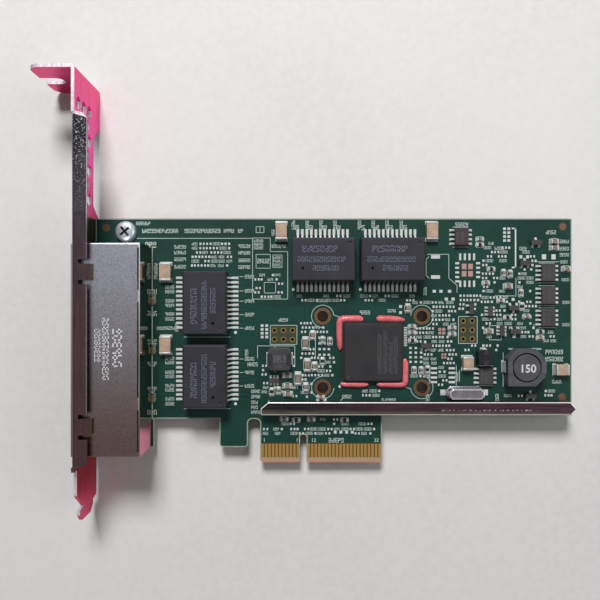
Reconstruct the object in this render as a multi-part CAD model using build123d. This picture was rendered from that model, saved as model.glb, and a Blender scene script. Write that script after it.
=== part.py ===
from build123d import *
import os
from math import cos, pi

# Four-port network interface card, modelled in millimetres.
# X runs along the card, Y up across it and Z out of its component side.
# The origin is on the centre line of the key slot, at the tip of the edge contacts,
# in the middle of the board's thickness.

# Board
board_thickness = 1.57
board_top_margin = 3.2
board_right_margin = 7.0
board_gap_to_bracket = 0.25
board_corner = 0.6
board_inner_radius = 1.2
jack_shelf_bottom = 4.4
left_bottom_edge = 12.4
right_bottom_edge = 13.3
hook_left = -23.6
hook_right = -15.6
hook_bottom = 4.4
notch_top = 12.3

# Edge connector
key_slot_width = 1.9
key_slot_depth = 8.0
contact_pitch = 1.0
contact_width = 0.7
contact_length = 3.9
contact_thickness = 0.04
contact_tip = 1.4
contacts_before_key = 11
contacts_after_key = 21
contact_side_margin = 0.65
bevel_height = 1.25
bevel_depth = 0.5

# Holes for the missing heatsink and the two empty pin headers
heatsink_hole = 3.2
heatsink_spacing_x = 27.94
heatsink_spacing_y = 20.1
header_hole = 1.0
header_pitch = 2.54

# Jack with four ports
port_pitch = 13.97
jack_end_margin = 6.9
jack_height = 13.4
jack_length = 18.0
jack_front_reach = 1.0
jack_shelf_margin = 0.6
jack_centre_y = 32.85
shield_sheet = 0.25
shield_fold_bevel = 0.35
shield_fit = 0.05
shield_slot_width = 0.4
shield_post_width = 1.0
shield_slot_margin = 1.0
shield_bridge = 3.2
post_reach = 1.1
post_hole = 1.6
port_width = 11.8
port_height = 6.9
port_depth = 12.8
port_floor = 2.0
latch_step_width = 6.4
latch_step_height = 1.5
latch_slot_width = 3.9
latch_slot_height = 1.2
light_width = 2.3
light_height = 2.4
light_depth = 2.0
light_lift = 0.7
window_margin = 0.75
wire_count = 8
wire_pitch = 1.02
wire_width = 0.45
wire_thickness = 0.3
wire_setback = 2.2
wire_reach = 8.0
wire_rise = 3.2
wire_bend = 1.2
wire_gap = 0.12
tail_setbacks = (4.0, 1.46)

# Bracket, one folded steel sheet
bracket_face = -59.6
bracket_sheet = 0.86
fold_radius = 1.0
fold_margin = 1.5
bracket_top = 106.4
bracket_over_jack = 2.1
bracket_far_lobe = -4.2
bracket_far_waist = 1.0
waist_bottom = 69.5
waist_ramp = 2.5
waist_top = 91.0
lobe_bottom = 95.0
lobe_ramp_radius = 2.0
tab_reach = 11.43
tab_corner_radius = 3.0
screw_notch_width = 4.42
screw_notch_centre = 7.6
screw_notch_lift = 5.4
flange_width = 4.0
flange_bottom = 2.8
plate_below_flange = 1.2
flange_top = 94.2
flange_end_radius = 2.4
foot_near_edge = 13.7
foot_far_edge = -1.5
foot_ramp_start = 4.4
foot_ramp_end = 6.4
tongue_width = 10.2
tongue_shoulder = -5.0
tongue_neck = -9.0
tongue_tip = -13.6
tongue_offset = 1.0
tongue_corner = 1.8
tongue_side_radius = 1.5
tongue_joggle = 1.6
jack_opening_gap = 0.3
vent_across_flats = 3.2
vent_pitch_y = 4.6
vent_pitch_z = 4.0
vent_first_y = 73.4
vent_columns = 7
vent_first_z = 4.4
vent_rows = 3
spring_window_length = 6.4
spring_window_depth = 2.2
spring_width = 4.2
spring_reach = 0.9
spring_heights = (13.2, 53.1)
spring_contact_gap = 0.05

# Ear under the board and its screw
ear_length = 13.0
ear_width = 7.0
ear_corner = 1.5
screw_x = -49.8
screw_from_top = 3.8
screw_diameter = 3.0
screw_hole_clearance = 0.2
screw_thread_gap = 0.02
screw_head_diameter = 5.9
screw_head_height = 2.1
screw_head_bevel = 0.7
screw_head_slope = 1.1
screw_end_reach = 0.6
cross_width = 0.9
cross_span = 3.2
cross_depth = 1.2

# Stiffener bar along the lower edge
bar_left = -11.8
bar_bottom = 13.95
bar_width = 3.6
bar_height = 3.3
bar_wall = 0.6
bar_left_chamfer = 2.1
bar_right_chamfer = 1.7

# Controller chip and the resin at its corners
chip_size = 17.0
chip_y = 31.2
substrate_thickness = 0.5
cover_margin = 0.35
cover_thickness = 0.9
cover_chamfer = 0.3
ball_height = 0.4
ball_width = 0.6
ball_pitch = 1.27
ball_margin = 0.85
bond_width = 1.5
bond_height = 1.05
bond_chamfer = 0.4
bond_end_taper = 0.6
bond_leg_short = 7.3
bond_leg_long = 9.2
bond_strip = 7.8

# Gull-wing leads, as far out as the point where they meet the board
lead_heel = 0.65

# Line transformers
transformer_length = 17.4
transformer_width = 11.9
transformer_height = 5.9
transformer_standoff = 0.3
transformer_chamfer = 0.35
transformer_gap = 2.75
transformer_row_gap = 1.6
transformer_pin_count = 12
transformer_pin_pitch = 1.27
transformer_pin_width = 0.5
transformer_pin_thickness = 0.25
transformer_pin_exit = 2.2
transformer_span = 17.3
dimple_radius = 0.5
dimple_depth = 0.2
dimple_inset = 1.5

# Eight-lead chips
soic_body_width = 3.9
soic_body_length = 4.9
soic_height = 1.45
soic_span = 6.1
soic_pitch = 1.27
soic_lead_width = 0.42
soic_lead_thickness = 0.2
soic_standoff = 0.15
soic_exit = 0.65
soic_chamfer = 0.2

# Small transistors and regulators
sot_length = 2.9
sot_width = 1.35
sot_height = 1.0
sot_span = 2.6
sot_lead_width = 0.4
sot_lead_thickness = 0.15
sot_standoff = 0.1
sot_pitch = 0.95

# Power inductor
coil_width = 10.3
coil_height = 4.0
coil_corner = 2.6
coil_disc_radius = 3.7
coil_ring_gap = 0.35
coil_pocket_depth = 0.9
coil_disc_proud = 0.15
coil_clip_width = 3.2
clip_thickness = 0.15
clip_lap = 1.2

# Small moulded inductors
choke_size = 6.3
choke_height = 3.0
choke_chamfer = 0.6
block_size = 4.0
block_height = 3.0
block_chamfer = 0.3
block_clip_width = 1.4

# Crystal in its metal can
crystal_length = 10.0
crystal_width = 3.2
crystal_height = 3.6
crystal_flange = 0.25
crystal_flange_height = 0.45
crystal_base_height = 0.5
crystal_top_bevel = 0.35
crystal_lead_width = 0.6
crystal_lead_thickness = 0.2
crystal_lead_reach = 1.4
crystal_lead_length = 3.2

# Ceramic capacitors and resistors, as length, width, height and end length
surge_size = (4.9, 3.2, 1.9, 0.55)
tank_size = (3.6, 3.0, 2.0, 0.5)
large_size = (3.2, 1.6, 1.2, 0.5)
medium_size = (2.0, 1.25, 0.9, 0.4)
small_size = (1.6, 0.8, 0.6, 0.3)
end_proud = 0.03

# Places on the board, read from the card
line_pair_from_jack = 15.55
line_pair_y = 45.05
line_pair_top = (5.45, 56.95)
chip_x = 19.43
flash_from_surge = 8.25
flash_from_top = 5.25
driver_sites = ((68.6, 53.45), (68.6, 47.05), (68.6, 40.85))
regulator_x = 51.2
regulator_from_crystal = 0.4
coil_site = (61.55, 27.15)
choke_site = (-6.65, 29.4)
block_x = 50.6
block_from_regulator = 0.9
crystal_x = 45.3
crystal_from_bar = 0.4
header_left = (-5.6, 36.0)
header_right = (46.3, 37.4)
surge_from_jack = 3.95
surge_left_ys = (53.7, 33.2)
surge_from_pair = 2.9
surge_from_top = 3.6
tank_sites = ((46.1, 28.1, 90), (72.4, 26.3, 0))
large_sites = ((-1.5, 23.7, 90), (1.1, 27.5, 90), (0.6, 33.6, 90))
medium_sites = (
    (3.2, 27.1, 90),
    (2.6, 35.9, 90),
    (0.7, 21.3, 90),
    (-4.6, 24.6, 0),
    (-4.5, 21.6, 0),
    (-4.3, 19.4, 0),
    (70.6, 62.3, 0),
    (70.6, 60.5, 0),
    (57.6, 49.7, 0),
    (74.0, 54.6, 0),
    (52.2, 37.0, 0),
)
small_sites = (
    (-8.9, 20.0, 90),
    (-7.0, 20.3, 90),
    (30.6, 38.3, 0),
    (30.6, 36.6, 0),
    (30.7, 34.4, 0),
    (31.2, 26.0, 90),
    (33.2, 26.0, 90),
    (35.0, 26.2, 90),
    (41.9, 38.0, 0),
    (41.9, 36.2, 0),
    (57.5, 40.9, 0),
    (61.6, 44.0, 90),
    (62.9, 41.2, 0),
    (55.6, 45.6, 0),
    (61.3, 47.8, 90),
    (52.9, 54.5, 0),
    (51.4, 50.6, 0),
    (56.4, 53.4, 90),
    (58.3, 53.2, 90),
    (66.7, 36.9, 0),
    (66.7, 35.2, 0),
    (-5.4, 12.3, 0),
    (-2.0, 12.0, 0),
    (2.2, 12.2, 0),
    (11.6, 12.0, 0),
    (5.4, 34.5, 90),
    (7.5, 34.2, 90),
    (5.4, 28.6, 90),
)
sot_three_sites = (
    (65.4, 62.0, 0),
    (62.3, 56.2, 0),
    (47.2, 43.3, -90),
    (59.5, 37.0, 180),
    (59.1, 43.6, 180),
    (34.3, 33.0, 0),
)
sot_six_sites = ((-8.2, 23.2, 0), (55.8, 37.2, 90), (52.5, 42.7, 90))

chip_above_bond = 2.3
pair_beside_flash = 2.35
pair_beside_flash_ys = (-0.6, -2.2)
chip_above_bar = (4.9, 0.95)
transistor_above_bar = (63.9, 1.35)

# Values that follow from those above
top = board_thickness / 2
bottom = -top
bracket_inside = bracket_face + bracket_sheet
board_left = bracket_inside + board_gap_to_bracket
board_right = driver_sites[0][0] + board_right_margin
board_top = line_pair_top[1] + transformer_span / 2 + board_top_margin
screw_y = board_top - screw_from_top
jack_front = bracket_face - jack_front_reach
jack_back = jack_front + jack_length
shelf_right = jack_back + jack_shelf_margin
tail_rows = [jack_back - setback for setback in tail_setbacks]
jack_top = top + jack_height
near_z = jack_top + bracket_over_jack
fold_leg = bracket_over_jack - jack_opening_gap
port_centres = [jack_centre_y + (k - 1.5) * port_pitch for k in range(4)]
jack_low = port_centres[0] - jack_end_margin
jack_high = port_centres[-1] + jack_end_margin
port_front = jack_front + shield_sheet + shield_fit
port_back = port_front + port_depth
floor_z = top + port_floor
port_roof = floor_z + port_height
light_z = port_roof + light_lift
post_ys = [(a + b) / 2 for a, b in zip(port_centres, port_centres[1:])]
finger_left = -contact_pitch * (contacts_before_key + 0.5) - contact_side_margin
finger_right = contact_pitch * (contacts_after_key + 0.5) + contact_side_margin
bond_out = chip_size / 2 + bond_width
bond_foot = bond_out - bond_leg_long
bond_toe = bond_leg_short - bond_out
bond_heel = bond_out - bond_strip
pair_pitch = transformer_length + transformer_gap
row_pitch = transformer_length + transformer_row_gap
line_pair_x = jack_back + line_pair_from_jack
transformer_sites = (
    (line_pair_x, line_pair_y, 0),
    (line_pair_x, line_pair_y - pair_pitch, 0),
    (line_pair_top[0], line_pair_top[1], 90),
    (line_pair_top[0] + row_pitch, line_pair_top[1], 90),
)
bar_top_edge = bar_bottom + bar_width
crystal_y = bar_top_edge + crystal_from_bar + crystal_flange + crystal_width / 2
crystal_far_edge = crystal_y + crystal_width / 2 + crystal_flange
regulator_y = crystal_far_edge + regulator_from_crystal + soic_body_length / 2
block_y = regulator_y + soic_body_length / 2 + block_from_regulator + block_size / 2
pair_ends = (line_pair_top[0] - transformer_length / 2 - surge_from_pair,
             line_pair_top[0] + row_pitch + transformer_length / 2 + surge_from_pair)
surge_sites = [(jack_back + surge_from_jack, y) for y in surge_left_ys]
surge_sites += [(x, board_top - surge_from_top) for x in pair_ends]
flash_x = pair_ends[1] + flash_from_surge
flash_edge = flash_x + soic_span / 2
flash_y = board_top - flash_from_top
medium_sites += ((chip_x + bond_out, chip_y + bond_out + chip_above_bond, 90),)
small_sites += ((chip_above_bar[0], bar_top_edge + chip_above_bar[1], 0),)
small_sites += tuple((flash_edge + pair_beside_flash, flash_y + y, 0)
                     for y in pair_beside_flash_ys)
sot_three_sites += ((transistor_above_bar[0], bar_top_edge + transistor_above_bar[1], 0),)


def block(xs, ys, zs):
    """A box between two values along each axis."""
    size = [high - low for low, high in (xs, ys, zs)]
    middle = [(high + low) / 2 for low, high in (xs, ys, zs)]
    return Pos(*middle) * Box(*size)


def rounded(points, radii):
    """A face with its own radius at each corner, or a sharp corner at 0."""
    return make_face(FilletPolyline(*points, radius=radii, close=True))


def polygon(points):
    """A face with sharp corners."""
    return make_face(Polyline(*points, close=True))


def lengthwise(face, y_low, y_high):
    """Extrudes a section drawn in X and Z from y_low to y_high."""
    return Pos(0, y_low, 0) * extrude(Plane.XZ * face, amount=y_low - y_high)


def upright(face, x_low, x_high):
    """Extrudes a section drawn in Y and Z from x_low to x_high."""
    return Pos(x_low, 0, 0) * extrude(Plane.YZ * face, amount=x_high - x_low)


def rising(face, z_low, z_high):
    """Extrudes a section drawn in X and Y from z_low to z_high."""
    return Pos(0, 0, z_low) * extrude(face, amount=z_high - z_low)


def place(solids, x, y, turn=0, z=None):
    """Turns a sub-part about Z and sets it on the board at a site."""
    seat = top if z is None else z
    return [Pos(x, y, seat) * Rot(0, 0, turn) * solid for solid in solids]


def save(name, solids):
    """Writes one node, as one solid or as a group of separate solids."""
    parts = list(solids) if isinstance(solids, (list, tuple)) else [solids]
    shape = parts[0] if len(parts) == 1 else Compound(children=parts)
    export_step(shape, f"parts/{name}.step")


def small_round(radius, sides=8):
    """A small or hidden circle, drawn with straight sides that touch it."""
    return RegularPolygon(radius, sides, major_radius=False, rotation=180 / sides)


def long_octagon(length, width):
    """A slot shape with each round end drawn as three straight sides."""
    return chamfer(Rectangle(length, width).vertices(), 0.29 * width)


def board_outline():
    """The board's outline, with hook, notch, key slot and two contact tabs."""
    half_key = key_slot_width / 2
    corner, inner = board_corner, board_inner_radius
    key_radius = half_key * 0.98
    points_and_radii = (
        ((board_left, board_top), 0),
        ((board_left, jack_shelf_bottom), 0),
        ((shelf_right, jack_shelf_bottom), 0),
        ((shelf_right, left_bottom_edge), 0),
        ((hook_left, left_bottom_edge), 0),
        ((hook_left, hook_bottom + corner), 0),
        ((hook_left + corner, hook_bottom), 0),
        ((hook_right - corner, hook_bottom), 0),
        ((hook_right, hook_bottom + corner), 0),
        ((hook_right, notch_top), inner),
        ((finger_left, notch_top), inner),
        ((finger_left, corner), 0),
        ((finger_left + corner, 0), 0),
        ((-half_key - corner / 2, 0), 0),
        ((-half_key, corner / 2), 0),
        ((-half_key, key_slot_depth), key_radius),
        ((half_key, key_slot_depth), key_radius),
        ((half_key, corner / 2), 0),
        ((half_key + corner / 2, 0), 0),
        ((finger_right - corner, 0), 0),
        ((finger_right, corner), 0),
        ((finger_right, right_bottom_edge), 0),
        ((board_right, right_bottom_edge), 0),
        ((board_right, board_top), 0),
    )
    points = [point for point, _ in points_and_radii]
    radii = [radius for _, radius in points_and_radii]
    return rounded(points, radii)


def heatsink_holes():
    """Centres of the four holes round the controller chip."""
    half_x, half_y = heatsink_spacing_x / 2, heatsink_spacing_y / 2
    return [(chip_x + i * half_x, chip_y + j * half_y) for i in (-1, 1) for j in (-1, 1)]


def header_holes():
    """Centres of the two empty 2 by 3 pin headers' holes."""
    half = header_pitch / 2
    flat = [(header_left[0] + i * header_pitch, header_left[1] + j * half)
            for i in (-1, 0, 1) for j in (-1, 1)]
    tall = [(header_right[0] + i * half, header_right[1] + j * header_pitch)
            for i in (-1, 1) for j in (-1, 0, 1)]
    return flat + tall


def tail_sites():
    """Centres of the contact wires where they pass through the board."""
    sites = []
    for centre in port_centres:
        for k in range(wire_count):
            y = centre + (k - (wire_count - 1) / 2) * wire_pitch
            sites.append((tail_rows[k % 2], y))
    return sites


def bevel_tool():
    """The two wedges that thin the edge of the board at the contact tips."""
    wide = (finger_left - 1, finger_right + 1)
    upper = Plane.YZ * polygon(((-0.01, top + 0.01), (-0.01, top - bevel_depth),
                                (bevel_height, top + 0.01)))
    lower = Plane.YZ * polygon(((-0.01, bottom - 0.01), (-0.01, bottom + bevel_depth),
                                (bevel_height, bottom - 0.01)))
    return [Pos(wide[0], 0, 0) * extrude(cut, amount=wide[1] - wide[0]) for cut in (upper, lower)]


def circuit_board():
    """The bare board with every hole that goes through it."""
    board = rising(board_outline(), bottom, top)
    cutters = [Pos(x, y, 0) * Cylinder(heatsink_hole / 2, 2 * board_thickness)
               for x, y in heatsink_holes()]
    drilled = [(x, y, header_hole, 6) for x, y in header_holes()]
    drilled += [(jack_back - shield_sheet / 2, y, post_hole, 6) for y in post_ys]
    drilled.append((screw_x, screw_y, screw_diameter + 2 * screw_hole_clearance, 8))
    cutters += [rising(Pos(x, y) * small_round(d / 2, sides), bottom - 1, top + 1)
                for x, y, d, sides in drilled]
    half_x = wire_thickness / 2 + wire_gap
    half_y = wire_width / 2 + wire_gap
    for x, y in tail_sites():
        cutters.append(block((x - half_x, x + half_x), (y - half_y, y + half_y),
                             (bottom - 1, top + 1)))
    return board - cutters - bevel_tool()


def edge_contacts(z_low):
    """One row of gilt contacts, as thin plates on one face of the board."""
    before = [-(k + 1.5) * contact_pitch for k in range(contacts_before_key)]
    after = [(k + 1.5) * contact_pitch for k in range(contacts_after_key)]
    half = contact_width / 2
    heights = (contact_tip, contact_tip + contact_length)
    return [block((x - half, x + half), heights, (z_low, z_low + contact_thickness))
            for x in before + after]


def plate_outline():
    """The bracket's upright plate, drawn in Y and Z."""
    near, foot = near_z, top + foot_near_edge
    low = bottom - bracket_sheet
    tongue_low = top + foot_far_edge
    lobe, waist = top + bracket_far_lobe, top + bracket_far_waist
    end = bracket_top - fold_margin
    start = flange_bottom - plate_below_flange
    side, ramp = tongue_side_radius, lobe_ramp_radius
    points_and_radii = (
        ((end, near), 0),
        ((start, near), 0),
        ((start, foot), 0),
        ((tongue_shoulder, foot), side),
        ((tongue_neck, tongue_low + tongue_width), side),
        ((tongue_neck, tongue_low), 0),
        ((foot_ramp_start, tongue_low), 0),
        ((foot_ramp_end, low), 0),
        ((waist_bottom, low), 0),
        ((waist_bottom + waist_ramp, waist), 0),
        ((waist_top, waist), ramp),
        ((lobe_bottom, lobe), ramp),
        ((end, lobe), 0),
    )
    return rounded([p for p, _ in points_and_radii], [r for _, r in points_and_radii])


def vent_sites():
    """Centres of the vents, in Y and Z, every other column half a step up."""
    sites = []
    for column in range(vent_columns):
        shift = (column % 2) * vent_pitch_z / 2
        rows = vent_rows - column % 2
        for row in range(rows):
            sites.append((vent_first_y + column * vent_pitch_y * cos(pi / 6),
                          top + vent_first_z + shift + row * vent_pitch_z))
    return sites


def screw_tab():
    """The tab folded outward at the top, with the notch for the case's screw."""
    below = bracket_top - bracket_sheet
    end = bracket_face - tab_reach
    section = rounded(
        ((bracket_inside, bracket_top - fold_margin), (bracket_inside, bracket_top),
         (end, bracket_top), (end, below), (bracket_face, below),
         (bracket_face, bracket_top - fold_margin)),
        (0, fold_radius, 0, 0, 0, 0),
    )
    far = top + bracket_far_lobe
    fold = rising(section, far, near_z)
    corner = tab_corner_radius
    plan = rounded(
        ((end, near_z), (bracket_inside + 1, near_z), (bracket_inside + 1, far), (end, far)),
        (corner, 0, 0, corner),
    )
    fold = fold & lengthwise(plan, bracket_top - 5, bracket_top + 5)
    notch_x = bracket_face - screw_notch_centre
    notch_z = top + screw_notch_lift
    radius = screw_notch_width / 2
    slot = block((end - 1, notch_x), (bracket_top - 2, bracket_top + 1),
                 (notch_z - radius, notch_z + radius))
    round_end = Pos(notch_x, bracket_top, notch_z) * Rot(90, 0, 0) * Cylinder(radius, 4)
    return fold - slot - round_end


def side_flange():
    """The strip folded inward over the jack, with two springs that earth it."""
    edge = bracket_face + flange_width
    under = near_z - bracket_sheet
    section = rounded(
        ((bracket_face, near_z - fold_leg), (bracket_face, near_z), (edge, near_z),
         (edge, under), (bracket_inside, under), (bracket_inside, near_z - fold_leg)),
        (0, fold_radius, 0, 0, 0, 0),
    )
    flange = lengthwise(section, flange_bottom, flange_top)
    corners = flange.edges().filter_by(Axis.Z).sort_by(Axis.X)[-2:]
    flange = fillet(corners, flange_end_radius)
    inner = edge - spring_window_depth
    half_window = spring_window_length / 2
    half_spring = spring_width / 2
    rest = jack_top + spring_contact_gap
    tip = edge + spring_reach
    spring = polygon(((inner, near_z), (inner, under), (tip, rest), (tip, rest + bracket_sheet)))
    for y in spring_heights:
        flange -= block((inner, edge + 1), (y - half_window, y + half_window),
                        (under - 1, near_z + 1))
        flange += lengthwise(spring, y - half_spring, y + half_spring)
    return flange


def board_ear():
    """The ear folded under the board, tapped for the screw."""
    end = bracket_inside + ear_length
    low = bottom - bracket_sheet
    section = rounded(
        ((bracket_inside, bottom + fold_margin), (bracket_face, bottom + fold_margin),
         (bracket_face, low), (end, low), (end, bottom), (bracket_inside, bottom)),
        (0, 0, fold_radius, 0, 0, 0),
    )
    ear = lengthwise(section, screw_y - ear_width / 2, screw_y + ear_width / 2)
    corners = ear.edges().filter_by(Axis.Z).sort_by(Axis.X)[-2:]
    ear = chamfer(corners, ear_corner)
    hole = small_round(screw_diameter / 2 + screw_thread_gap)
    return ear - rising(Pos(screw_x, screw_y) * hole, low - 1, bottom + 1)


def bracket_tongue():
    """The tongue that slips into the case, set outward by a small joggle."""
    neck, tip = tongue_neck, tongue_tip
    inner, outer = bracket_inside - tongue_offset, bracket_face - tongue_offset
    step = neck - tongue_joggle
    section = polygon(((bracket_inside, neck), (inner, step), (inner, tip), (outer, tip),
                       (outer, step - 0.3 * bracket_sheet), (bracket_face, neck)))
    low = top + foot_far_edge
    tongue = rising(section, low, low + tongue_width)
    corners = tongue.edges().filter_by(Axis.X).group_by(Axis.Y)[0]
    return chamfer(corners, tongue_corner)


def bracket():
    """The whole bracket, one folded sheet."""
    plate = upright(plate_outline(), bracket_face, bracket_inside)
    gap = jack_opening_gap
    opening = block((bracket_face - 1, bracket_inside + 1), (jack_low - gap, jack_high + gap),
                    (top - gap, jack_top + gap))
    radius = vent_across_flats / 2 / cos(pi / 6)
    vents = Sketch() + [Pos(y, z) * RegularPolygon(radius, 6) for y, z in vent_sites()]
    vent_cut = upright(vents, bracket_face - 1, bracket_inside + 1)
    near_strip = block((bracket_face - 1, bracket_inside + 1), (flange_bottom, flange_top),
                       (near_z - fold_leg, near_z + 1))
    ear_strip = block((bracket_face - 1, bracket_inside + 1),
                      (screw_y - ear_width / 2, screw_y + ear_width / 2),
                      (bottom - bracket_sheet - 1, bottom + 1))
    plate = plate - opening - near_strip - ear_strip
    folded = plate + side_flange() + board_ear() + screw_tab() + bracket_tongue()
    return folded - vent_cut


def bracket_screw():
    """Pan-head screw with a cross recess, down through board and ear."""
    end = bottom - bracket_sheet - screw_end_reach
    head_outline = Pos(screw_x, screw_y) * small_round(screw_head_diameter / 2, 16)
    head = rising(head_outline, top, top + screw_head_height)
    head = chamfer(head.edges().group_by(Axis.Z)[-1], screw_head_bevel, screw_head_slope)
    shank = rising(Pos(screw_x, screw_y) * small_round(screw_diameter / 2), end, top)
    head_top = top + screw_head_height
    half, narrow = cross_span / 2, cross_width / 2
    depth = (head_top - cross_depth, head_top + 1)
    slots = [block((screw_x - a, screw_x + a), (screw_y - b, screw_y + b), depth)
             for a, b in ((half, narrow), (narrow, half))]
    return head + shank - slots


def port_cavity(centre):
    """The space that takes one plug, with its latch steps and the way out for the wires."""
    front = port_front - 1
    step_top = port_roof + latch_step_height
    cavity = [
        block((front, port_back), (centre - port_width / 2, centre + port_width / 2),
              (floor_z, port_roof)),
        block((front, port_back), (centre - latch_step_width / 2, centre + latch_step_width / 2),
              (port_roof - 0.1, step_top)),
        block((front, port_back), (centre - latch_slot_width / 2, centre + latch_slot_width / 2),
              (step_top - 0.1, step_top + latch_slot_height)),
    ]
    half = (wire_count - 1) / 2 * wire_pitch + wire_width / 2 + wire_gap
    ys = (centre - half, centre + half)
    reach = wire_thickness / 2 + wire_gap
    cavity.append(block((port_back - 0.1, max(tail_rows) + reach), ys,
                        (floor_z, floor_z + wire_thickness + wire_gap)))
    cavity.append(block((min(tail_rows) - reach, max(tail_rows) + reach), ys,
                        (top - 1, floor_z + 0.1)))
    return cavity


def light_places():
    """Centres in Y of the two lights above each port's shoulders."""
    offset = (port_width - light_width) / 2
    return [centre + side * offset for centre in port_centres for side in (-1, 1)]


def jack_housing():
    """The black moulding inside the shield, with four ports."""
    inset = shield_sheet + shield_fit
    body = block((port_front, jack_back - inset), (jack_low + inset, jack_high - inset),
                 (top, jack_top - inset))
    cuts = []
    for centre in port_centres:
        cuts += port_cavity(centre)
    gap = shield_fit
    for y in light_places():
        half = light_width / 2 + gap
        cuts.append(block((port_front - 1, port_front + light_depth), (y - half, y + half),
                          (light_z - gap, light_z + light_height + gap)))
    return body - cuts


def jack_lights():
    """Eight light pipes, flush with the moulding's face."""
    half = light_width / 2
    return [block((port_front, port_front + light_depth), (y - half, y + half),
                  (light_z, light_z + light_height)) for y in light_places()]


def jack_shield():
    """The plated shell round the jack, folded from one sheet."""
    sheet = shield_sheet
    shell = block((jack_front, jack_back), (jack_low, jack_high), (top, jack_top))
    shell = chamfer(shell.edges().group_by(Axis.Z)[-1], shield_fold_bevel)
    shell -= block((jack_front + sheet, jack_back - sheet), (jack_low + sheet, jack_high - sheet),
                   (top - 1, jack_top - sheet))
    half = port_width / 2 + window_margin
    window_top = light_z + light_height + shield_fit
    cuts = [block((jack_front - 1, jack_front + sheet + 0.5), (y - half, y + half),
                  (floor_z - window_margin, window_top)) for y in port_centres]
    half_bridge = shield_bridge / 2
    margin = sheet + shield_slot_margin
    stops = [jack_low + margin, post_ys[0] - half_bridge, post_ys[0] + half_bridge,
             post_ys[2] - half_bridge, post_ys[2] + half_bridge, jack_high - margin]
    slot_x = (jack_back - sheet - shield_slot_width, jack_back - sheet)
    for low, high in zip(stops[0::2], stops[1::2]):
        cuts.append(block(slot_x, (low, high), (jack_top - 2 * sheet, jack_top + 1)))
    half_post = shield_post_width / 2
    posts = [block((jack_back - sheet, jack_back), (y - half_post, y + half_post),
                   (bottom - post_reach, top + 0.5)) for y in post_ys]
    return shell - cuts + posts


def wire_section(tail_x):
    """One contact wire seen from the side: tail, floor run and springing end."""
    t = wire_thickness
    low = bottom - post_reach
    front = port_front + wire_setback
    back = front + wire_reach
    high = floor_z + wire_rise
    return polygon((
        (tail_x - t / 2, low), (tail_x + t / 2, low), (tail_x + t / 2, floor_z + t),
        (front + wire_bend, floor_z + t), (back, high), (front, floor_z),
        (tail_x - t / 2, floor_z)))


def jack_wires():
    """Eight contact wires in each port."""
    half = wire_width / 2
    sections = {x: wire_section(x) for x in tail_rows}
    return [lengthwise(sections[x], y - half, y + half) for x, y in tail_sites()]


def stiffener_bar():
    """The pressed steel channel that keeps the long board straight."""
    high = bar_bottom + bar_width
    left, right = bar_left, board_right
    cut_l, cut_r = bar_left_chamfer, bar_right_chamfer
    outline = polygon((
        (left + cut_l, high), (left, high - 0.85 * cut_l), (left, bar_bottom),
        (right - cut_r, bar_bottom), (right, high - 1.1 * cut_r), (right - cut_r, high)))
    inner = offset(outline, amount=-bar_wall, kind=Kind.INTERSECTION)
    z_high = top + bar_height
    bar = rising(outline, top, z_high) - rising(inner, top - 1, z_high - bar_wall)
    return bar


def chip_balls():
    """The solder balls that show between the beads, on the outer ring of the grid."""
    last = int((chip_size - 2 * ball_margin) / ball_pitch)
    steps = [(i - last / 2) * ball_pitch for i in range(last + 1)]
    edge = steps[-1]
    spots = [(x, edge) for x in steps if bond_toe < x < bond_heel]
    spots += [(-edge, y) for y in steps if y < bond_foot]
    spots += [(-x, -y) for x, y in spots]
    ball = extrude(RegularPolygon(ball_width / 2, 4), amount=ball_height)
    return [Pos(chip_x + x, chip_y + y, top) * ball for x, y in spots]


def chip_substrate():
    """The controller's carrier board."""
    half = chip_size / 2
    low = top + ball_height
    return block((chip_x - half, chip_x + half), (chip_y - half, chip_y + half),
                 (low, low + substrate_thickness))


def chip_cover():
    """The controller's moulded cover."""
    half = chip_size / 2 - cover_margin
    low = top + ball_height + substrate_thickness
    cover = block((chip_x - half, chip_x + half), (chip_y - half, chip_y + half),
                  (low, low + cover_thickness))
    cover = chamfer(cover.edges().filter_by(Axis.Z), 2 * cover_chamfer)
    return chamfer(cover.edges().group_by(Axis.Z)[-1], cover_chamfer)


def bond_bead(face):
    """One bead of resin, rounded at its ends and bevelled on top."""
    bead = extrude(face, amount=bond_height)
    bead = chamfer(bead.edges().group_by(Axis.Z)[-1], bond_chamfer)
    return Pos(chip_x, chip_y, top) * bead


def corner_bond():
    """Two L-shaped and two straight beads of resin against the chip's edges."""
    half, out = chip_size / 2, bond_out
    taper = bond_end_taper
    foot, toe, heel = bond_foot, bond_toe, bond_heel
    beads = []
    for turn in (0, 180):
        ell = polygon((
            (-out, out - 2 * taper), (-out, foot + taper), (taper - out, foot), (-half, foot),
            (-half, half), (toe, half), (toe, out - taper), (toe - taper, out),
            (2 * taper - out, out)))
        strip = polygon(((heel, out - taper), (heel, half), (out - taper, half),
                         (out - taper, out - taper), (out - 2 * taper, out), (heel + taper, out)))
        beads += [bond_bead(Rot(0, 0, turn) * face) for face in (ell, strip)]
    return beads


def lead(reach, exit_z, width, thickness):
    """One gull-wing lead that leaves a body along +X and ends flat on the board."""
    t = thickness
    section = polygon(((0, exit_z + t), (lead_heel + 0.6 * t, t), (reach, t), (reach, 0),
                       (lead_heel, 0), (0, exit_z)))
    return lengthwise(section, -width / 2, width / 2)


def lead_row(single, body_half, count, pitch):
    """A row of equal leads down the right side of a body."""
    ys = [(k - (count - 1) / 2) * pitch for k in range(count)]
    return [Pos(body_half, y, 0) * single for y in ys]


def both_sides(row):
    """The same row on the left side too."""
    return row + [Rot(0, 0, 180) * solid for solid in row]


def moulded_body(width, length, height, standoff, bevel):
    """A moulded body with bevelled top edges, standing clear of the board."""
    body = block((-width / 2, width / 2), (-length / 2, length / 2), (standoff, height))
    return chamfer(body.edges().group_by(Axis.Z)[-1], bevel)


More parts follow.
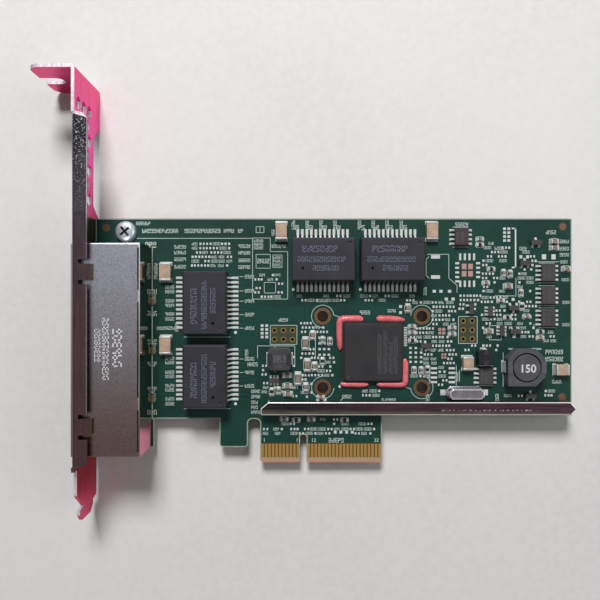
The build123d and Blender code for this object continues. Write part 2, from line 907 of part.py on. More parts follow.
def transformer():
    """One line transformer: the potted case and its two rows of leads."""
    body = moulded_body(transformer_width, transformer_length, transformer_height,
                        transformer_standoff, transformer_chamfer)
    mark = (transformer_width / 2 - dimple_inset, dimple_inset - transformer_length / 2)
    dimple = extrude(RegularPolygon(dimple_radius, 8), amount=2 * dimple_depth)
    body -= Pos(*mark, transformer_height - dimple_depth) * dimple
    reach = (transformer_span - transformer_width) / 2
    single = lead(reach, transformer_pin_exit, transformer_pin_width, transformer_pin_thickness)
    row = lead_row(single, transformer_width / 2, transformer_pin_count, transformer_pin_pitch)
    return body, both_sides(row)


def small_outline_chip():
    """One eight-lead chip: body and leads."""
    body = moulded_body(soic_body_width, soic_body_length, soic_height, soic_standoff, soic_chamfer)
    reach = (soic_span - soic_body_width) / 2
    single = lead(reach, soic_exit, soic_lead_width, soic_lead_thickness)
    return body, both_sides(lead_row(single, soic_body_width / 2, 4, soic_pitch))


def small_transistor(lead_places):
    """One small transistor package, with leads where the list says."""
    body = block((-sot_length / 2, sot_length / 2), (-sot_width / 2, sot_width / 2),
                 (sot_standoff, sot_height))
    reach = (sot_span - sot_width) / 2
    half = sot_lead_width / 2
    single = block((0, reach), (-half, half), (0, sot_lead_thickness))
    leads = []
    for side, along in lead_places:
        turn = 90 if side > 0 else -90
        leads.append(Pos(along, side * sot_width / 2, 0) * Rot(0, 0, turn) * single)
    return body, leads


def end_clips(width, height, clip):
    """Two metal clips that wrap a block's left and right sides."""
    t, w = clip_thickness, width / 2
    section = polygon(((w - clip_lap, 0), (w + t, 0), (w + t, height + t), (w - clip_lap, height + t),
                       (w - clip_lap, height), (w, height), (w, t), (w - clip_lap, t)))
    right = lengthwise(section, -clip / 2, clip / 2)
    return [right, Rot(0, 0, 180) * right]


def power_inductor():
    """The large coil: core with one square corner, wound drum whose end shows, and clips."""
    square = Rectangle(coil_width, coil_width)
    cut_corners = [v for v in square.vertices() if v.X > 0 or v.Y > 0]
    outline = chamfer(cut_corners, coil_corner)
    core = rising(outline, clip_thickness, coil_height)
    pocket_low = coil_height - coil_pocket_depth
    pocket = coil_disc_radius + coil_ring_gap
    core -= Pos(0, 0, pocket_low + 1) * Cylinder(pocket, 2)
    drum_top = coil_height + coil_disc_proud
    drum = Pos(0, 0, (pocket_low + drum_top) / 2)
    drum = drum * Cylinder(coil_disc_radius, drum_top - pocket_low)
    return core, drum, end_clips(coil_width, coil_height, coil_clip_width)


def moulded_inductor(size, height, bevel, clip):
    """A square moulded inductor and its two clips."""
    body = block((-size / 2, size / 2), (-size / 2, size / 2), (clip_thickness, height))
    body = chamfer(body.edges().filter_by(Axis.Z), bevel)
    return body, end_clips(size, height, clip)


def crystal():
    """The crystal: insulating base, metal can with a flange, and two flat leads."""
    length, width = crystal_length, crystal_width
    flange = crystal_flange
    t = crystal_lead_thickness
    foot = long_octagon(length + 2 * flange, width + 2 * flange)
    base_low, base_high = t, crystal_base_height
    base = rising(foot, base_low, base_high)
    rim = rising(foot, base_high, base_high + crystal_flange_height)
    can = rising(long_octagon(length, width), base_high, crystal_height)
    can = chamfer(can.edges().group_by(Axis.Z)[-1], crystal_top_bevel)
    edge = length / 2 + crystal_lead_reach
    near = edge - crystal_lead_length
    half = crystal_lead_width / 2
    leads = [block((near, edge), (-half, half), (0, t)),
             block((-edge, -near), (-half, half), (0, t))]
    return base, can + rim, leads


def ceramic_chip(size):
    """One leadless chip: ceramic body and its two metal ends."""
    length, width, height, end = size
    inner = length / 2 - end
    body = block((-inner, inner), (end_proud - width / 2, width / 2 - end_proud),
                 (end_proud, height - end_proud))
    right = block((inner, length / 2), (-width / 2, width / 2), (0, height))
    return body, [right, Rot(0, 0, 180) * right]


def place_all(built, sites):
    """Copies a body and its metal to every site, and returns the two groups."""
    body, metal = built
    bodies, metals = [], []
    for x, y, turn in sites:
        bodies += place([body], x, y, turn)
        metals += place(metal, x, y, turn)
    return bodies, metals


def save_transformers():
    """Writes the four line transformers, each as a case and a set of leads."""
    body, leads = transformer()
    for number, (x, y, turn) in enumerate(transformer_sites, start=1):
        save(f"transformer_case_{number}", place([body], x, y, turn))
        save(f"transformer_leads_{number}", place(leads, x, y, turn))


def save_eight_lead_chips():
    """Writes the flash memory, the three drivers and the regulator."""
    built = small_outline_chip()
    groups = (
        ("flash_memory", [(flash_x, flash_y, 0)]),
        ("line_driver", [(x, y, 0) for x, y in driver_sites]),
        ("regulator", [(regulator_x, regulator_y, 0)]),
    )
    for name, sites in groups:
        bodies, leads = place_all(built, sites)
        save(f"{name}_body", bodies)
        save(f"{name}_leads", leads)


def save_inductors():
    """Writes the coil and the two moulded inductors."""
    core, drum, clips = power_inductor()
    save("power_inductor_core", place([core], *coil_site))
    save("power_inductor_drum", place([drum], *coil_site))
    save("power_inductor_clips", place(clips, *coil_site))
    body, clips = moulded_inductor(choke_size, choke_height, choke_chamfer, coil_clip_width)
    save("choke_body", place([body], *choke_site))
    save("choke_clips", place(clips, *choke_site))
    body, clips = moulded_inductor(block_size, block_height, block_chamfer, block_clip_width)
    save("block_inductor_body", place([body], block_x, block_y, 90))
    save("block_inductor_clips", place(clips, block_x, block_y, 90))


def save_ceramics():
    """Writes the leadless chips: bodies and ends, and the smallest in one piece."""
    groups = (
        ("surge_capacitor", surge_size, [(x, y, 90) for x, y in surge_sites]),
        ("tank_capacitor", tank_size, tank_sites),
        ("large_chip", large_size, large_sites),
        ("medium_chip", medium_size, medium_sites),
    )
    for name, size, sites in groups:
        bodies, ends = place_all(ceramic_chip(size), sites)
        save(f"{name}_bodies", bodies)
        save(f"{name}_ends", ends)
    length, width, height, _ = small_size
    chip = block((-length / 2, length / 2), (-width / 2, width / 2), (0, height))
    save("small_chips", [solid for x, y, turn in small_sites for solid in place([chip], x, y, turn)])


def save_transistors():
    """Writes the three-lead and six-lead small packages."""
    three = small_transistor(((1, 0), (-1, -sot_pitch), (-1, sot_pitch)))
    six = small_transistor([(s, k * sot_pitch) for s in (1, -1) for k in (-1, 0, 1)])
    bodies, leads = place_all(three, sot_three_sites)
    more_bodies, more_leads = place_all(six, sot_six_sites)
    save("transistor_bodies", bodies + more_bodies)
    save("transistor_leads", leads + more_leads)


def save_all():
    """Builds every node and writes it."""
    os.makedirs("parts", exist_ok=True)
    save("circuit_board", circuit_board())
    save("edge_contacts_front", edge_contacts(top))
    save("edge_contacts_back", edge_contacts(bottom - contact_thickness))
    save("bracket", bracket())
    save("bracket_screw", bracket_screw())
    save("jack_housing", jack_housing())
    save("jack_shield", jack_shield())
    save("jack_wires", jack_wires())
    save("jack_lights", jack_lights())
    save("stiffener_bar", stiffener_bar())
    save("controller_balls", chip_balls())
    save("controller_substrate", chip_substrate())
    save("controller_cover", chip_cover())
    save("corner_bond", corner_bond())
    save_transformers()
    save_eight_lead_chips()
    save_inductors()
    base, can, leads = crystal()
    save("crystal_base", place([base], crystal_x, crystal_y))
    save("crystal_can", place([can], crystal_x, crystal_y))
    save("crystal_leads", place(leads, crystal_x, crystal_y))
    save_ceramics()
    save_transistors()


save_all()
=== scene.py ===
import math
import random

import bmesh
import bpy
from mathutils import Matrix, Vector


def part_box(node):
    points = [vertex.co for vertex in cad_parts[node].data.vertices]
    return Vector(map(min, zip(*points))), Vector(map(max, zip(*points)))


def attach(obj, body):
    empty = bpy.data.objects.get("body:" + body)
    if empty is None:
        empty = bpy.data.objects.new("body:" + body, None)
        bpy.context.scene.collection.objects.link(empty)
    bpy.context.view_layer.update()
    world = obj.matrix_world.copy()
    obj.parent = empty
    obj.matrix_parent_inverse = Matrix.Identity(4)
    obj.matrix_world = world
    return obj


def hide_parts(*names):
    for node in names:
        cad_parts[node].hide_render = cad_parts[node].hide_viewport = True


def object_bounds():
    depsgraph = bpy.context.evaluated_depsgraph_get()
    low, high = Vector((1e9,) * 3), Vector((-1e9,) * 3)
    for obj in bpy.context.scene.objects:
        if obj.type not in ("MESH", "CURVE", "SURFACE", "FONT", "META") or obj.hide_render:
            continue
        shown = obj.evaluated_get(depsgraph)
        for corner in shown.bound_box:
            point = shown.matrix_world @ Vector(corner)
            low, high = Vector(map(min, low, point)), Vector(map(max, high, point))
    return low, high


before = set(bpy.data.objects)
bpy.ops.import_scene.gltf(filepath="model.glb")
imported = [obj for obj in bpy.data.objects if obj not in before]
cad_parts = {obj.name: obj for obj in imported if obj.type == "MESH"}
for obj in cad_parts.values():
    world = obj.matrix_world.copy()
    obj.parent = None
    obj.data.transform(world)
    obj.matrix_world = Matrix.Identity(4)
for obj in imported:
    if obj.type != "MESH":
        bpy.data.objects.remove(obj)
cad_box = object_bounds()

# Circuit board
# The bare card is glass-fibre laminate, pressed with copper tracks inside and coated
# with green solder mask. Its sawn edges show the pale laminate.
mm = 0.001
board_low, board_high = (corner * 1000 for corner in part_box("circuit_board"))
board_top = board_high.z
board_bottom = board_low.z
mask_green = "#153F36"
mask_dark = "#0D2F27"
laminate_pale = "#98A08A"
laminate_bare = "#5A4420"
bevel_pale = "#D8A68A"
bevel_top = 1.3
mask_patch = 14.0
mask_mottle = 0.9
mask_ramp = (0.45, 0.9)
weave_pitch = 0.55
wave_bands = 20
contact_band = 5.6
contact_side = -13.0


def linear(colour):
    """Turns an sRGB hex colour to the linear values that shaders take."""
    parts = [int(colour[i:i + 2], 16) / 255 for i in (1, 3, 5)]
    return [p / 12.92 if p <= 0.04045 else ((p + 0.055) / 1.055) ** 2.4 for p in parts] + [1.0]


def add_node(material, kind, settings=None, links=None):
    """Adds one node. Settings are its own options or input values, and links feed its inputs."""
    node = material.node_tree.nodes.new(kind)
    for name, value in (settings or {}).items():
        if isinstance(name, int) or name in node.inputs:
            node.inputs[name].default_value = value
        else:
            setattr(node, name, value)
    for name, socket in (links or {}).items():
        material.node_tree.links.new(node.inputs[name], socket)
    return node


def new_material(name, **sockets):
    """A material with its shader's own sockets set, such as Roughness or Base_Color."""
    material = bpy.data.materials.new(name)
    material.use_nodes = True
    shader = material.node_tree.nodes["Principled BSDF"]
    for socket, value in sockets.items():
        shader.inputs[socket.replace("_", " ")].default_value = value
    return material, shader


def feed(material, shader, **sockets):
    """Links textures to a shader's sockets."""
    for socket, source in sockets.items():
        material.node_tree.links.new(shader.inputs[socket.replace("_", " ")], source)


def per_metre(size):
    """A texture's scale for features of a size in millimetres."""
    return 1 / (size * mm)


def two_toned(name, colour, other, size, detail=2.0, **sockets):
    """A material whose colour drifts between two tones, in patches of a size."""
    material, shader = new_material(name, **sockets)
    where = add_node(material, "ShaderNodeTexCoord")
    drift = add_node(material, "ShaderNodeTexNoise", {"Scale": per_metre(size), "Detail": detail},
                     {"Vector": where.outputs["Object"]})
    tone = add_node(material, "ShaderNodeMix", {"data_type": "RGBA", 6: linear(colour),
                                                7: linear(other)},
                    {"Factor": drift.outputs["Fac"]})
    feed(material, shader, Base_Color=tone.outputs[2])
    return material


# Solder mask is a thin glossy epoxy film over woven glass, so it shows cloudy patches,
# a fine mottle and the weave as a faint relief, drawn coarser than the cloth so that it shows.
mask, shader = new_material("solder_mask_on_glass_laminate", Roughness=0.45,
                            Specular_IOR_Level=0.25)
where = add_node(mask, "ShaderNodeTexCoord")
axes = add_node(mask, "ShaderNodeSeparateXYZ", links={"Vector": where.outputs["Object"]})
patches = add_node(mask, "ShaderNodeTexNoise", {"Scale": per_metre(mask_patch), "Detail": 3.0},
                   {"Vector": where.outputs["Object"]})
mottle = add_node(mask, "ShaderNodeTexNoise", {"Scale": per_metre(mask_mottle), "Detail": 2.0},
                  {"Vector": where.outputs["Object"]})
cloud = add_node(mask, "ShaderNodeMath", {"operation": "MULTIPLY_ADD", 1: 0.35},
                 {0: mottle.outputs["Fac"], 2: patches.outputs["Fac"]})
green = add_node(mask, "ShaderNodeValToRGB", links={"Fac": cloud.outputs["Value"]})
for stop, place, tint in zip(green.color_ramp.elements, mask_ramp, (mask_dark, mask_green)):
    stop.position, stop.color = place, linear(tint)

# The mask ends above the contacts. The laminate is bare there, and paler on the bevel.
low = add_node(mask, "ShaderNodeMath", {"operation": "LESS_THAN", 1: contact_band * mm},
               {0: axes.outputs["Y"]})
beside = add_node(mask, "ShaderNodeMath", {"operation": "GREATER_THAN", 1: contact_side * mm},
                  {0: axes.outputs["X"]})
bare = add_node(mask, "ShaderNodeMath", {"operation": "MULTIPLY"},
                {0: low.outputs["Value"], 1: beside.outputs["Value"]})
below = add_node(mask, "ShaderNodeMath", {"operation": "LESS_THAN", 1: bevel_top * mm},
                 {0: axes.outputs["Y"]})
ground = add_node(mask, "ShaderNodeMix", {"data_type": "RGBA", 6: linear(laminate_bare),
                                          7: linear(bevel_pale)},
                  {"Factor": below.outputs["Value"]})
faces = add_node(mask, "ShaderNodeMix", {"data_type": "RGBA"},
                 {"Factor": bare.outputs["Value"], 6: green.outputs["Color"], 7: ground.outputs[2]})

# Faces that aren't level are sawn edges and hole walls.
surface = add_node(mask, "ShaderNodeNewGeometry")
facing = add_node(mask, "ShaderNodeSeparateXYZ", links={"Vector": surface.outputs["True Normal"]})
upright = add_node(mask, "ShaderNodeMath", {"operation": "ABSOLUTE"}, {0: facing.outputs["Z"]})
sawn = add_node(mask, "ShaderNodeMath", {"operation": "LESS_THAN", 1: 0.5},
                {0: upright.outputs["Value"]})
tip = add_node(mask, "ShaderNodeMath", {"operation": "MULTIPLY"},
               {0: sawn.outputs["Value"], 1: bare.outputs["Value"]})
edge_colour = add_node(mask, "ShaderNodeMix", {"data_type": "RGBA", 6: linear(laminate_pale),
                                               7: linear(bevel_pale)},
                       {"Factor": tip.outputs["Value"]})
colour = add_node(mask, "ShaderNodeMix", {"data_type": "RGBA"},
                  {"Factor": sawn.outputs["Value"], 6: faces.outputs[2], 7: edge_colour.outputs[2]})
warp, weft = (add_node(mask, "ShaderNodeTexWave", {"Scale": per_metre(weave_pitch) / wave_bands,
                                                  "Distortion": 0.6, "bands_direction": axis},
                       {"Vector": where.outputs["Object"]}) for axis in "XY")
weave = add_node(mask, "ShaderNodeMath", {"operation": "ADD"},
                 {0: warp.outputs["Fac"], 1: weft.outputs["Fac"]})
relief = add_node(mask, "ShaderNodeBump", {"Strength": 0.08, "Distance": 0.02 * mm},
                  {"Height": weave.outputs["Value"]})
feed(mask, shader, Base_Color=colour.outputs[2], Normal=relief.outputs["Normal"])


def finish_node(name, material):
    """Gives a CAD node its material."""
    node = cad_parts[name]
    node.data.materials.clear()
    node.data.materials.append(material)


finish_node("circuit_board", mask)

# Tracks
# Copper tracks under the mask, etched from the outer foil. They stand a few hundredths
# of a millimetre proud and look a shade lighter than the mask round them.
track_width = 0.22
track_rise = 0.02
track_green = "#1B4A3F"
track_overlap = 0.45
lead_pitch = 1.27
lead_rows = 12
fan_tops = (52.0, 31.9)
bundle_rows = 9
bundle_top = 43.6
bundle_pitch = 0.45
contact_track_pitch = 2.0
contact_tracks = (5.4, 7.4)


def place_piece(name, shape, material, replaced=(), sharp=40):
    """Turns a shape in millimetres into a finished piece that rides on the card."""
    bmesh.ops.scale(shape, vec=(mm, mm, mm), verts=shape.verts)
    mesh = bpy.data.meshes.new(name)
    shape.to_mesh(mesh)
    shape.free()
    mesh.shade_smooth()
    mesh.set_sharp_from_angle(angle=math.radians(sharp))
    mesh.materials.append(material)
    piece = bpy.data.objects.new(name, mesh)
    bpy.context.scene.collection.objects.link(piece)
    piece.modifiers.new("flat_faces", "WEIGHTED_NORMAL").keep_sharp = True
    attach(piece, "root")
    if replaced:
        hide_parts(*replaced)
    return piece


def add_box(shape, xs, ys, zs, turn=0.0):
    """Adds a box between two values along each axis, turned about its middle."""
    size = [high - low for low, high in (xs, ys, zs)]
    middle = [(high + low) / 2 for low, high in (xs, ys, zs)]
    place = Matrix.Translation(middle) @ Matrix.Rotation(turn, 4, "Z")
    return bmesh.ops.create_cube(shape, size=1, matrix=place @ Matrix.Diagonal(size + [1]))["verts"]


def add_stroke(shape, start, end, width, low, high):
    """Adds a flat bar from one point to another on the board."""
    run = Vector(end) - Vector(start)
    middle = (Vector(start) + Vector(end)) / 2
    half = run.length / 2 + width * track_overlap
    add_box(shape, (middle.x - half, middle.x + half),
            (middle.y - width / 2, middle.y + width / 2), (low, high), math.atan2(run.y, run.x))


def add_path(shape, points, width, low, high, closed=False):
    """Adds bars along a list of points."""
    ends = points[1:] + points[:1] if closed else points[1:]
    for start, end in zip(points, ends):
        add_stroke(shape, start, end, width, low, high)


# Over copper the mask is thinner, so it is lighter and a little glossier.
track_mask = two_toned("solder_mask_over_copper", mask_green, track_green, mask_patch, 3.0,
                       Roughness=0.42, Specular_IOR_Level=0.25)
tracks = bmesh.new()
track_top = board_top + track_rise
for row in range(lead_rows):
    for fan_top in fan_tops:
        y = fan_top - row * lead_pitch
        add_path(tracks, [(-18.4, y), (-15.6, y), (-14.9, y - 0.7), (-13.4, y - 0.7)],
                 track_width, board_top, track_top)
        add_path(tracks, [(-35.8, y), (-40.6, y)], track_width, board_top, track_top)
for row in range(bundle_rows):
    y = bundle_top - row * bundle_pitch
    add_path(tracks, [(-13.4, y), (0.4, y), (1.6, y - 1.2), (2.6, y - 1.2)], track_width, board_top,
             track_top)
    add_path(tracks, [(4.0 + row * contact_track_pitch, end) for end in contact_tracks],
             track_width, board_top, track_top)
place_piece("copper_tracks", tracks, track_mask)

# Sawn rim
# Routing the card to shape pulls the mask back from the cut, so a thin pale line of bare
# laminate runs all round its faces.
rim_width = 0.3
rim_rise = 0.012
rim_green = "#62786A"
rim_pale = "#AEB6A4"
fray_size = 0.5
weld = 0.001

# Torn fibres at the cut are pale and matt, in patches.
rim_laminate = two_toned("routed_glass_laminate", rim_green, rim_pale, fray_size, 3.0,
                         Roughness=0.7)
rim = bmesh.new()
for side in (1, -1):
    sheet = bmesh.new()
    sheet.from_mesh(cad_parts["circuit_board"].data)
    bmesh.ops.scale(sheet, vec=(1000, 1000, 1000), verts=sheet.verts)
    bmesh.ops.remove_doubles(sheet, verts=sheet.verts, dist=weld)
    others = [face for face in sheet.faces if face.normal.z * side < 0.9
              or abs(face.calc_center_median().z) < board_top * 0.9]
    bmesh.ops.delete(sheet, geom=others, context="FACES")
    inner = list(sheet.faces)
    bmesh.ops.inset_region(sheet, faces=inner, thickness=rim_width, use_even_offset=True,
                           use_boundary=True)
    bmesh.ops.delete(sheet, geom=inner, context="FACES")
    bmesh.ops.solidify(sheet, geom=list(sheet.faces), thickness=-rim_rise)
    loose = bpy.data.meshes.new("rim_sheet")
    sheet.to_mesh(loose)
    sheet.free()
    rim.from_mesh(loose)
    bpy.data.meshes.remove(loose)
bmesh.ops.recalc_face_normals(rim, faces=rim.faces)
place_piece("sawn_rim", rim, rim_laminate)

# Plated holes and targets
# The four heatsink holes and the two empty pin headers have copper rings and barrels, left
# bare or flashed with gold. Three copper dots guide the assembly robot.
film = 0.035
heatsink_middle = (19.43, 31.2)
heatsink_half = (13.97, 10.05)
heatsink_ring = (1.6, 2.38)
header_ring = (0.5, 0.78)
header_pitch = 2.54
headers = (((-5.6, 36.0), 3, 2), ((46.3, 37.4), 2, 3))
ring_gold = "#B8A070"
ring_worn = "#8C7448"
copper_colour = "#A07C62"
copper_tarnish = "#5E4436"
target_dots = ((73.1, 66.5), (-55.5, 66.2), (72.9, 18.5))
target_radius = 0.95
post_sites = ((-42.5, 45.5), (-42.5, 31.5), (-42.5, 18.0))
post_disc = 1.05


def add_turned(shape, x, y, profile, steps=32):
    """Spins a closed profile of radius and height points round an upright axis."""
    points = [shape.verts.new((x + radius, y, height)) for radius, height in profile]
    edges = [shape.edges.new((points[i - 1], points[i])) for i in range(len(points))]
    before = set(shape.faces)
    bmesh.ops.spin(shape, geom=points + edges, cent=(x, y, 0), axis=(0, 0, 1), steps=steps,
                   angle=2 * math.pi, use_merge=True)
    bmesh.ops.recalc_face_normals(shape, faces=[f for f in shape.faces if f not in before])


def add_disc(shape, x, y, radius, low, high, top=None, steps=32):
    """Adds a round plate, narrower at its top where a top radius is given."""
    bmesh.ops.create_cone(shape, cap_ends=True, segments=steps, radius1=radius,
                          radius2=radius if top is None else top, depth=high - low,
                          matrix=Matrix.Translation((x, y, (low + high) / 2)))


def add_barrel(shape, x, y, hole, ring):
    """Adds the plating of a hole: a thin tube with a ring on each face of the board."""
    inner = hole - film
    add_turned(shape, x, y, [(inner, board_bottom - film), (ring, board_bottom - film),
                             (ring, board_bottom), (hole, board_bottom), (hole, board_top),
                             (ring, board_top), (ring, board_top + film),
                             (inner, board_top + film)])


def heatsink_hole(side, end):
    """The middle of one of the four heatsink holes."""
    return (heatsink_middle[0] + side * heatsink_half[0],
            heatsink_middle[1] + end * heatsink_half[1])


def header_holes(centre, across, up):
    """The middles of a pin header's holes."""
    return [(centre[0] + (column - (across - 1) / 2) * header_pitch,
             centre[1] + (row - (up - 1) / 2) * header_pitch)
            for column in range(across) for row in range(up)]


def tarnished(name, bright, dull, patch, roughness, metallic=1.0, mottle=0.35):
    """A plated metal whose colour and gloss drift between a bright and a dull tone."""
    material, shader = new_material(name, Metallic=metallic)
    place = add_node(material, "ShaderNodeTexCoord")
    drift = add_node(material, "ShaderNodeTexNoise", {"Scale": per_metre(patch), "Detail": 4.0,
                                                      "Roughness": mottle},
                     {"Vector": place.outputs["Object"]})
    tone = add_node(material, "ShaderNodeMix", {"data_type": "RGBA", 6: linear(bright),
                                                7: linear(dull)},
                    {"Factor": drift.outputs["Fac"]})
    gloss = add_node(material, "ShaderNodeMapRange", {3: roughness * 0.75, 4: roughness * 1.3},
                     {"Value": drift.outputs["Fac"]})
    feed(material, shader, Base_Color=tone.outputs[2], Roughness=gloss.outputs["Result"])
    return material


def dim(material, factor):
    """Scales a finished material's colour by a factor that varies over the piece."""
    shader = material.node_tree.nodes["Principled BSDF"]
    scaled = add_node(material, "ShaderNodeVectorMath", {"operation": "SCALE"},
                      {0: shader.inputs["Base Color"].links[0].from_socket, "Scale": factor})
    feed(material, shader, Base_Color=scaled.outputs["Vector"])


# Bare copper under preservative is satin and patchy, from salmon to brown.
copper = tarnished("bare_copper_under_preservative", copper_colour, copper_tarnish, 1.6, 0.42)
rings = bmesh.new()
header_rings = bmesh.new()
for side in (-1, 1):
    for end in (-1, 1):
        add_barrel(rings, *heatsink_hole(side, end), *heatsink_ring)
for header in headers:
    for x, y in header_holes(*header):
        add_barrel(header_rings, x, y, *header_ring)
for x, y in target_dots:
    add_disc(rings, x, y, target_radius, board_top, board_top + film)
place_piece("plated_holes_and_targets", rings, copper)

# A flash of gold on the header rings is thin enough to look brown and dull.
ring_gilt = tarnished("flash_gold_on_copper", ring_gold, ring_worn, 0.8, 0.4)
place_piece("header_rings", header_rings, ring_gilt)

# Mask windows
# The solder mask is left off round each target dot and inside each header's outline, so
# the laminate shows there as an olive ground.
window_rise = 0.012
window_olive = "#26301C"
window_pale = "#384026"
window_reach = 1.3
header_windows = (((-9.3, -1.8), (33.3, 38.7)), ((43.7, 49.0), (33.6, 41.2)))
hole_steps = 32

# Bare laminate is matt, with the glass showing through as a pale grain.
olive = two_toned("laminate_without_mask", window_olive, window_pale, weave_pitch, Roughness=0.5)


def add_holed_plate(shape, xs, ys, z, holes, radius):
    """Adds a thin film with round holes, as a grid of cells, each round its own hole."""
    columns = sorted({round(x, 3) for x, y in holes})
    rows = sorted({round(y, 3) for x, y in holes})
    splits_x = [xs[0]] + [(a + b) / 2 for a, b in zip(columns, columns[1:])] + [xs[1]]
    splits_y = [ys[0]] + [(a + b) / 2 for a, b in zip(rows, rows[1:])] + [ys[1]]
    for i, x in enumerate(columns):
        for j, y in enumerate(rows):
            left, right, bottom, top = splits_x[i], splits_x[i + 1], splits_y[j], splits_y[j + 1]
            rim, edge = [], []
            for step in range(hole_steps):
                angle = 2 * math.pi / hole_steps * step
                dx, dy = math.cos(angle), math.sin(angle)
                reach = min(((right - x) if dx > 0 else (x - left)) / max(abs(dx), 1e-6),
                            ((top - y) if dy > 0 else (y - bottom)) / max(abs(dy), 1e-6))
                rim.append(shape.verts.new((x + radius * dx, y + radius * dy, z)))
                edge.append(shape.verts.new((x + reach * dx, y + reach * dy, z)))
            for step in range(hole_steps):
                shape.faces.new((rim[step - 1], edge[step - 1], edge[step], rim[step]))


windows = bmesh.new()
window_top = board_top + window_rise
window_radius = target_radius * window_reach
for (xs, ys), header in zip(header_windows, headers):
    add_holed_plate(windows, xs, ys, window_top, header_holes(*header), header_ring[0])
for x, y in target_dots:
    add_turned(windows, x, y, [(target_radius, board_top), (window_radius, board_top),
                               (window_radius, window_top), (target_radius, window_top)])
place_piece("mask_windows", windows, olive)

# Edge contacts
# Each contact is a copper finger plated with nickel and then hard gold. Plugging in leaves
# fine scratches along it.
gilt_colour = "#DCB068"
gilt_worn = "#B88A4A"
scratch_width = 0.05
scratch_length = 2.5

# Hard gold is smooth and warm, and the scratches dull it in fine lines along each contact.
gilt, shader = new_material("hard_gold_over_nickel", Metallic=0.75)
where = add_node(gilt, "ShaderNodeTexCoord")
drawn = add_node(gilt, "ShaderNodeMapping", {"Scale": (per_metre(scratch_width),
                                                       per_metre(scratch_length), 1.0)},
                 {"Vector": where.outputs["Object"]})
scratches = add_node(gilt, "ShaderNodeTexNoise", {"Scale": 1.0, "Detail": 2.0},
                     {"Vector": drawn.outputs["Vector"]})
tone = add_node(gilt, "ShaderNodeMix", {"data_type": "RGBA", 6: linear(gilt_colour),
                                        7: linear(gilt_worn)},
                {"Factor": scratches.outputs["Fac"]})
gloss = add_node(gilt, "ShaderNodeMapRange", {3: 0.22, 4: 0.42},
                 {"Value": scratches.outputs["Fac"]})
feed(gilt, shader, Base_Color=tone.outputs[2], Roughness=gloss.outputs["Result"])
finish_node("edge_contacts_front", gilt)
finish_node("edge_contacts_back", gilt)

# Solder pads
# Pads are tinned copper, bare where nothing was fitted. Round a fitted part each pad shows
# as a bright rim, with solder drawn up the end of the part in a small slope.
pad_rise = 0.04
pad_margin = 0.12
pad_reach = 0.42
lead_margin = 0.15
fillet_share = 0.62
slope_share = 0.8
slope_taper = 0.2
slope_lap = 0.02
chip_landing = 0.3
lead_fillet = 0.22
case_reach = 22
crystal_margin = (0.3, 0.5)
tin_bright = "#E8ECEC"
tin_dull = "#BEBEBC"
bare_pads = (
    (43.35, 56.2, 1.1, 0.6), (43.35, 54.9, 1.1, 0.6), (43.35, 53.6, 1.1, 0.6),
    (43.35, 52.3, 1.1, 0.6), (43.35, 51.1, 1.1, 0.6), (49.25, 56.2, 1.1, 0.6),
    (49.25, 54.9, 1.1, 0.6), (49.25, 53.6, 1.1, 0.6), (49.25, 52.3, 1.1, 0.6),
    (44.2, 58.0, 0.6, 1.9), (45.5, 58.0, 0.6, 1.9), (46.8, 58.0, 0.6, 1.9), (48.1, 58.0, 0.6, 1.9),
    (44.2, 50.4, 0.6, 1.8), (45.5, 50.4, 0.6, 1.8), (46.8, 50.4, 0.6, 1.8), (48.1, 50.4, 0.6, 1.8),
    (36.8, 26.6, 1.8, 0.6), (36.8, 25.3, 1.8, 0.6), (36.8, 24.0, 1.8, 0.6), (36.8, 22.7, 1.8, 0.6),
    (41.85, 26.6, 1.8, 0.6), (41.85, 25.3, 1.8, 0.6), (41.85, 24.0, 1.8, 0.6),
    (41.85, 22.7, 1.8, 0.6), (37.25, 58.0, 2.5, 1.0), (37.25, 52.3, 2.5, 1.0),
    (36.9, 48.3, 0.9, 0.8), (38.8, 48.3, 0.9, 0.8), (41.2, 48.3, 0.9, 0.8), (40.3, 46.1, 0.9, 0.8),
    (42.2, 46.1, 0.9, 0.8), (27.4, 44.0, 0.8, 0.8), (27.4, 42.3, 0.8, 0.8), (61.3, 58.0, 0.8, 0.9),
    (63.2, 58.0, 0.8, 0.9), (67.8, 58.0, 1.2, 1.4), (70.5, 58.0, 1.2, 1.4), (59.1, 46.0, 0.8, 0.8),
    (62.0, 41.0, 0.8, 0.8), (63.9, 41.0, 0.8, 0.8), (49.0, 63.0, 0.8, 0.9), (50.3, 63.0, 0.8, 0.9),
    (58.4, 38.0, 0.9, 0.8), (60.4, 38.0, 0.9, 0.8), (59.4, 35.6, 0.9, 0.8), (4.1, 17.9, 0.9, 0.8),
    (6.1, 17.9, 0.9, 0.8),
)
pad_blocks = (
    (56.7, 62.6, 1.2, 1.1, 2, 4, 0.8, 0.7), (-11.6, 35.4, 1.3, 1.07, 2, 4, 0.8, 0.7),
    (28.8, 33.0, 1.0, 0.46, 1, 12, 0.9, 0.26), (4.6, 30.4, 1.3, 1.6, 3, 4, 0.7, 0.6),
    (30.2, 28.4, 1.5, 1.3, 3, 4, 0.7, 0.6), (56.9, 36.0, 1.0, 1.3, 1, 2, 0.7, 0.7),
    (9.0, 8.6, 1.6, 1.2, 4, 1, 0.8, 0.8), (2.2, 51.8, 1.5, 1.2, 1, 1, 0.8, 0.8),
)
end_nodes = ("surge_capacitor_ends", "tank_capacitor_ends", "large_chip_ends", "medium_chip_ends",
             "choke_clips", "block_inductor_clips", "power_inductor_clips")
crowd_seed = 23
crowd_step = 1.22
crowd_height = 0.72
crowd_kinds = {"pair": 1.45, "label": 1.75, "boxed": 2.0, "single": 0.6, "gap": 0.9}
